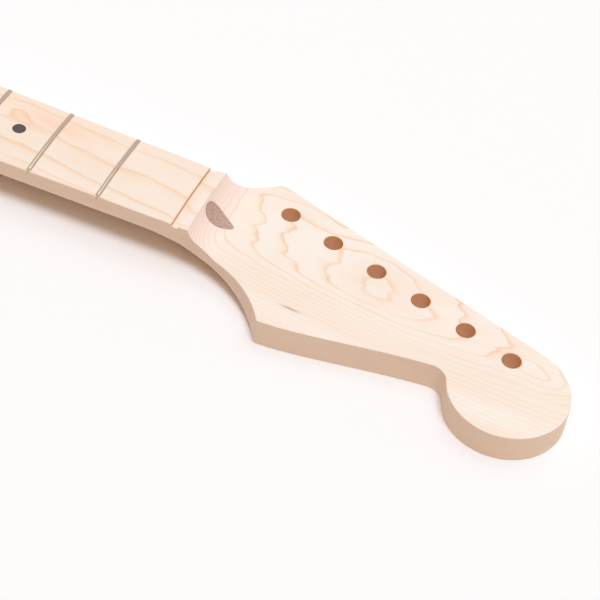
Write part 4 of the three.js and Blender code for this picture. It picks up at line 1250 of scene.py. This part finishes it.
class NECK_OT_wood(Maker, bpy.types.Operator):
    """Build the one-piece maple neck with its holes, slots and bores"""

    bl_idname = "neck.wood"
    bl_label = "Maple neck"

    def execute(self, context):
        plan, finishes = Plan(context.scene), context.scene.finishes
        bare = bare_maple(plan, finishes)
        slot_browned = cut_maple(plan, "scorched_maple", finishes.slot_brown, finishes.slot_brown)
        # The holes' tint holds painted light, for the warm light bounced inside them
        drilled = cut_maple(plan, "drilled_maple", finishes.hole, finishes.slot_brown)
        neck = paint(neck_form(plan, "maple_neck"), bare, slot_browned, drilled)
        self.brown_slot_wall(plan, neck)
        slots = [fret_slot(plan, plan.fret(number + 1)) for number in range(len(FRETS))]
        cut(neck, paint(joined("holes", list(self.holes(plan))), drilled))
        cut(neck, paint(joined("slots", slots), bare))
        for tool in self.rod_cutters(plan):
            cut(neck, paint(tool, drilled))
        smooth(neck)
        self.finish(neck, "maple", "neck_blank")
        return {"FINISHED"}

    def brown_slot_wall(self, plan, neck):
        """Gives the faces that stand across the end of the board the reddish-brown tint."""
        count = len(neck.data.polygons)
        centre, normal = np.empty(count * 3), np.empty(count * 3)
        neck.data.polygons.foreach_get("center", centre)
        neck.data.polygons.foreach_get("normal", normal)
        wall = (np.abs(centre[::3] - plan.nut) < AT_NUT) & (normal[::3] > ALONG)
        neck.data.polygons.foreach_set("material_index", wall.astype(np.int32))

    def holes(self, plan):
        """Cutters of the tuner holes, the pilot holes and the dots' seats."""
        shape, fitting = plan.shape, plan.fitting
        for centre in tuner_centres(plan):
            yield tuner_hole(plan, centre)
        for x in (-shape.screw_spacing / 2, shape.screw_spacing / 2):
            for y in (-shape.screw_gauge / 2, shape.screw_gauge / 2):
                ends = (x, y, -OVERRUN), (x, y, shape.pilot_depth)
                yield bore("pilot", *ends, shape.pilot_hole / 2, PILOT_STEPS)
        for node in FACE_DOTS:
            x, y, _ = middle_of(node)
            top = float(plan.crown(y))
            ends = (x, y, top - fitting.dot_depth), (x, y, top + DOT_OVERRUN)
            yield bore("dot", *ends, fitting.dot / 2)
        for node in SIDE_DOTS:
            x, _, z = middle_of(node)
            edge = plan.half_width(x)
            ends = (x, edge - fitting.side_dot_depth, z), (x, edge + DOT_OVERRUN, z)
            yield bore("dot", *ends, fitting.side_dot / 2, PEG_STEPS)

    def rod_cutters(self, plan):
        """Cutters of the rod's channel, the bores at the heel and the bores at the head."""
        fitting = plan.fitting
        yield channel_strip(plan, "channel", fitting.channel / 2, plan.rod_room)
        mouth = (plan.heel_end - OVERRUN, 0, plan.rod_exit)
        floor = (plan.heel_end + fitting.nut_bore_depth, 0, plan.rod_exit)
        yield bore("nut_bore", mouth, floor, fitting.nut_bore / 2)
        into_channel = (plan.heel_end + fitting.channel_heel + OVERRUN, 0, plan.rod_exit)
        yield bore("rod_hole", mouth, into_channel, fitting.rod_hole / 2)
        bottom, beyond = plan.bore_point(-fitting.anchor_setback), plan.bore_point(plan.plug_reach)
        yield bore("plug_bore", bottom, beyond, fitting.plug_bore / 2, PLUG_STEPS)
        into_channel = plan.bore_point(-fitting.channel_head - OVERRUN)
        yield bore("rod_hole", into_channel, plan.bore_point(0), fitting.rod_hole / 2)


class NECK_OT_frets(Maker, bpy.types.Operator):
    """Build the nickel-silver frets"""

    bl_idname = "neck.frets"
    bl_label = "Frets"

    def execute(self, context):
        plan, finishes = Plan(context.scene), context.scene.finishes
        # The wire's colour holds a painted reflection of a darker, warm room
        wire = metal("polished_wire", finishes.nickel, FRET_ROUGHNESS, FRET_LINES)
        for number, node in enumerate(FRETS, start=1):
            fret = smooth(paint(fret_skin(plan, node + "_wire", number), wire), FITTING_SHARP)
            self.finish(fret, "nickel_silver", node)
        return {"FINISHED"}


class NECK_OT_dots(Maker, bpy.types.Operator):
    """Build the dots in the face and the bass edge of the board"""

    bl_idname = "neck.dots"
    bl_label = "Dots"

    def execute(self, context):
        plan = Plan(context.scene)
        fitting, upward, bassward = plan.fitting, np.array([0, 0, 1]), np.array([0, 1, 0])
        disc = (fitting.dot / 2 - fitting.glue_line, fitting.dot_depth,
                lambda points: plan.crown(points[..., 1]), upward, DISC_STEPS)
        peg = (fitting.side_dot / 2 - fitting.glue_line, fitting.side_dot_depth,
               lambda points: plan.half_width(points[..., 0]), bassward, PEG_STEPS)
        dark = inlay_composite(context.scene.finishes)
        for nodes, ending, form in ((FACE_DOTS, "_disc", disc), (SIDE_DOTS, "_peg", peg)):
            for node in nodes:
                dot = inlay(node + ending, fitting, middle_of(node), *form)
                self.finish(smooth(paint(dot, dark), FITTING_SHARP), "inlay_black", node)
        return {"FINISHED"}


class NECK_OT_walnut(Maker, bpy.types.Operator):
    """Build the walnut plug in the scoop and the strip that closes the rod's channel"""

    bl_idname = "neck.walnut"
    bl_label = "Walnut plug and strip"

    def execute(self, context):
        plan = Plan(context.scene)
        fitting, dark = plan.fitting, walnut(plan, context.scene.finishes)
        form = paint(neck_form(plan, "form"), dark)
        start = plan.bore_point(fitting.anchor_length - fitting.anchor_setback + fitting.rod_gap)
        end, radius = plan.bore_point(plan.plug_reach), fitting.plug_bore / 2 - fitting.glue_line
        plug = paint(bore("walnut_plug", start, end, radius, PLUG_STEPS), dark)
        cut(plug, form, "INTERSECT", keep_tool=True)
        half = fitting.channel / 2 - fitting.glue_line
        strip = paint(channel_strip(plan, "walnut_strip", half, -plan.rod_room), dark)
        cut(strip, form, "INTERSECT")
        self.finish(smooth(plug), "walnut", "headstock_plug")
        self.finish(smooth(strip), "walnut", "truss_rod_fillet")
        return {"FINISHED"}


class NECK_OT_rod(Maker, bpy.types.Operator):
    """Finish the truss rod's parts and build the adjusting nut"""

    bl_idname = "neck.rod"
    bl_label = "Truss rod parts"

    def execute(self, context):
        plan = Plan(context.scene)
        steel = metal("machined_steel", context.scene.finishes.steel, STEEL_ROUGHNESS, LATHE_LINES)
        for node in ("truss_rod", "truss_rod_anchor", "truss_rod_washer"):
            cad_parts[node].material_slots[0].material = steel
        nut = paint(self.nut_body(plan), steel)
        for tool in self.driver_slots(plan):
            cut(nut, paint(tool, steel))
        self.finish(smooth(nut, NUT_SHARP), "steel", "truss_rod_nut", body=ADJUSTER_BODY)
        return {"FINISHED"}

    def nut_body(self, plan):
        """Turned from its inner end: the rod's socket, a chamfer, the side and the dome."""
        fitting = plan.fitting
        low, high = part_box("truss_rod_nut")
        length, radius, chamfer = high.x - low.x, fitting.rod_nut / 2, fitting.rod_nut_chamfer
        hollow, socket = plan.rod_room, fitting.rod_nut_socket * length
        t = np.linspace(0, QUARTER, DOME_POINTS)
        along = length - fitting.rod_nut_dome * (1 - np.sin(t))
        dome = np.stack([radius * np.cos(t), along], axis=-1)
        profile = [[0, socket], [hollow, socket], [hollow, 0], [radius - chamfer, 0],
                   [radius, chamfer], *dome]
        origin = (high.x, 0, plan.rod_exit)
        return lathe("adjusting_nut", profile, origin, (-1, 0, 0), (0, 0, 1), BORE_STEPS)

    def driver_slots(self, plan):
        """The two bars of the cross that a screwdriver turns."""
        fitting = plan.fitting
        low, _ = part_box("truss_rod_nut")
        ends = low.x - OVERRUN, low.x + fitting.driver_depth
        narrow, long = fitting.driver_slot / 2, fitting.rod_nut / 2 + SLOT_MARGIN
        for y, z in ((narrow, long), (long, narrow)):
            corners = [(-y, -z), (y, -z), (y, z), (-y, z)]
            rings = [[(x, across, plan.rod_exit + up) for across, up in corners] for x in ends]
            yield skin("driver_slot", np.array(rings), capped=True)


# Stage

# Over which heights, as the sine of the elevation, one part of the room turns into the next
FRONT_TO_SKY, BACKDROP_TO_GAP, GAP_TO_SKY = (0.6, 0.98), (0.12, 0.4), (0.72, 0.9)
BELOW_TO_ABOVE = (-0.03, 0.0)
# How far a direction points to the rear where the front half of the room gives way to it
FRONT_TO_REAR = (-0.2, 0.45)
FLOOR_ROUGHNESS = 0.9
# The camera's sensor in millimetres, and how many metres away it still sees things
SENSOR_WIDTH, FURTHEST = 36, 100


def view_direction(azimuth, elevation):
    """From the object towards a viewer: azimuth 0 looks along +Y and elevation is up."""
    flat = math.cos(elevation)
    return Vector((math.sin(azimuth) * flat, -math.cos(azimuth) * flat, math.sin(elevation)))


def looking(place, back):
    """A matrix at a place whose -Z looks away from back and whose X is level."""
    right = Vector((0, 0, 1)).cross(back).normalized()
    turned = Matrix((right, back.cross(right), back)).transposed().to_4x4()
    return Matrix.Translation(place) @ turned


class NECK_OT_stage(Maker, bpy.types.Operator):
    """Set up the pale floor, the soft light and the camera"""

    bl_idname = "neck.stage"
    bl_label = "Floor, light and camera"

    def execute(self, context):
        scene, stage = context.scene, context.scene.stage_shape
        self.floor(stage)
        scene.world = self.world(stage)
        for name in ("overhead", "behind"):
            self.lamp(scene, stage, name)
        scene.camera = self.camera(scene, stage)
        scene.view_settings.view_transform = "Standard"
        return {"FINISHED"}

    def floor(self, stage):
        """A large pale sheet. Seen from below it is clear, and light gets under what lies on it."""
        half, low = stage.floor_size / 2, -stage.floor_drop
        corners = [(-half, -half, low), (half, -half, low), (half, half, low), (-half, half, low)]
        made, t, shader = material("floor_paper")
        fleck = t.ranged(t.noise(object_point(t), *PAPER), *FLECKS)
        t.feed(shader["Base Color"], t.mixed(fleck, rgba(stage.floor), rgba(stage.floor_fleck)))
        shader["Roughness"].default_value = FLOOR_ROUGHNESS
        shader["Specular IOR Level"].default_value = 0.0
        path = t.add("ShaderNodeLightPath").outputs
        soft = t.math("MAXIMUM", path["Is Diffuse Ray"], path["Is Shadow Ray"])
        close = t.math("LESS_THAN", path["Ray Length"], stage.contact)
        from_below = t.add("ShaderNodeNewGeometry").outputs["Backfacing"]
        clear = t.math("MAXIMUM", from_below, t.times(soft, close))
        glass, nodes = t.add("ShaderNodeBsdfTransparent"), t.tree.nodes
        paper = nodes["Principled BSDF"].outputs[0]
        seen = t.add("ShaderNodeMixShader", {0: clear, 1: paper, 2: glass.outputs[0]})
        t.feed(nodes["Material Output"].inputs["Surface"], seen.outputs[0])
        paint(mesh_object("floor", np.array(corners), [[0, 1, 2, 3]]), made)

    def world(self, stage):
        """Light from all round: dim and warm in front, a pale backdrop behind and even light above.

        The camera and polished metal see it white.
        """
        world = bpy.data.worlds.new("studio")
        world.use_nodes = True
        world.node_tree.nodes.clear()
        t = Tree(world.node_tree)
        _, y, height = t.parts(t.add("ShaderNodeTexCoord").outputs["Generated"])
        front = t.mixed(t.eased(height, *FRONT_TO_SKY), rgba(stage.front), rgba(stage.sky))
        gap = t.mixed(t.eased(height, *BACKDROP_TO_GAP), rgba(stage.backdrop), rgba(stage.gap))
        rear = t.mixed(t.eased(height, *GAP_TO_SKY), gap, rgba(stage.sky))
        above = t.mixed(t.eased(y, *FRONT_TO_REAR), front, rear)
        light = t.mixed(t.ranged(height, *BELOW_TO_ABOVE), rgba(stage.below), above)
        path = t.add("ShaderNodeLightPath").outputs
        mirrored = t.math("MAXIMUM", path["Is Glossy Ray"], path["Is Transmission Ray"])
        seen = t.math("MAXIMUM", path["Is Camera Ray"], mirrored)
        tone = t.mixed(seen, light, (1, 1, 1, 1))
        sky = t.add("ShaderNodeBackground", {"Color": tone, "Strength": 1.0})
        t.add("ShaderNodeOutputWorld", {"Surface": sky.outputs[0]})
        return world

    def lamp(self, scene, stage, name):
        """A broad, distant light, as strong all along the neck, set by what a level face gets."""
        parts = ("azimuth", "elevation", "spread", "level")
        azimuth, elevation, spread, level = (getattr(stage, f"{name}_{part}") for part in parts)
        light = bpy.data.lights.new(name, "SUN")
        light.color = stage.lamp
        light.angle = spread
        light.energy = level * math.pi / math.sin(elevation)
        back = view_direction(azimuth, elevation)
        self.placed(scene, light, looking(Vector(stage.aim) + back, back))

    def camera(self, scene, stage):
        lens = bpy.data.cameras.new("camera")
        lens.lens = stage.lens
        lens.sensor_width = SENSOR_WIDTH
        lens.clip_end = FURTHEST
        back = view_direction(stage.camera_azimuth, stage.camera_elevation)
        view = looking(Vector(stage.aim) + back * stage.camera_distance, back)
        return self.placed(scene, lens, view @ Matrix.Rotation(stage.camera_roll, 4, "Z"))

    def placed(self, scene, data, matrix):
        made = bpy.data.objects.new(data.name, data)
        scene.collection.objects.link(made)
        made.matrix_world = matrix
        return made


STEPS = (NECK_OT_stage, NECK_OT_wood, NECK_OT_frets, NECK_OT_dots, NECK_OT_walnut, NECK_OT_rod)
SETTINGS = {
    "neck_shape": NeckShape, "fitting_shape": FittingShape, "finishes": Finishes,
    "stage_shape": StageShape,
}


class NECK_PT_panel(bpy.types.Panel):
    """Lists the pieces and their sizes"""

    bl_idname = "NECK_PT_panel"
    bl_label = "Guitar neck"
    bl_space_type = "VIEW_3D"
    bl_region_type = "UI"
    bl_category = "Guitar neck"

    def draw(self, context):
        for operator in STEPS:
            self.layout.operator(operator.bl_idname)
        for name in SETTINGS:
            settings, box = getattr(context.scene, name), self.layout.box()
            box.label(text=name.replace("_", " ").capitalize())
            for key in settings.__annotations__:
                box.prop(settings, key)


CLASSES = (*SETTINGS.values(), *STEPS, NECK_PT_panel)


def register():
    for kind in CLASSES:
        bpy.utils.register_class(kind)
    for name, kind in SETTINGS.items():
        setattr(bpy.types.Scene, name, PointerProperty(type=kind))


def unregister():
    for name in SETTINGS:
        delattr(bpy.types.Scene, name)
    for kind in reversed(CLASSES):
        bpy.utils.unregister_class(kind)


def main():
    """Builds the stage and every piece."""
    register()
    for step in STEPS:
        area, verb = step.bl_idname.split(".")
        getattr(getattr(bpy.ops, area), verb)()


if __name__ == "__main__":
    main()
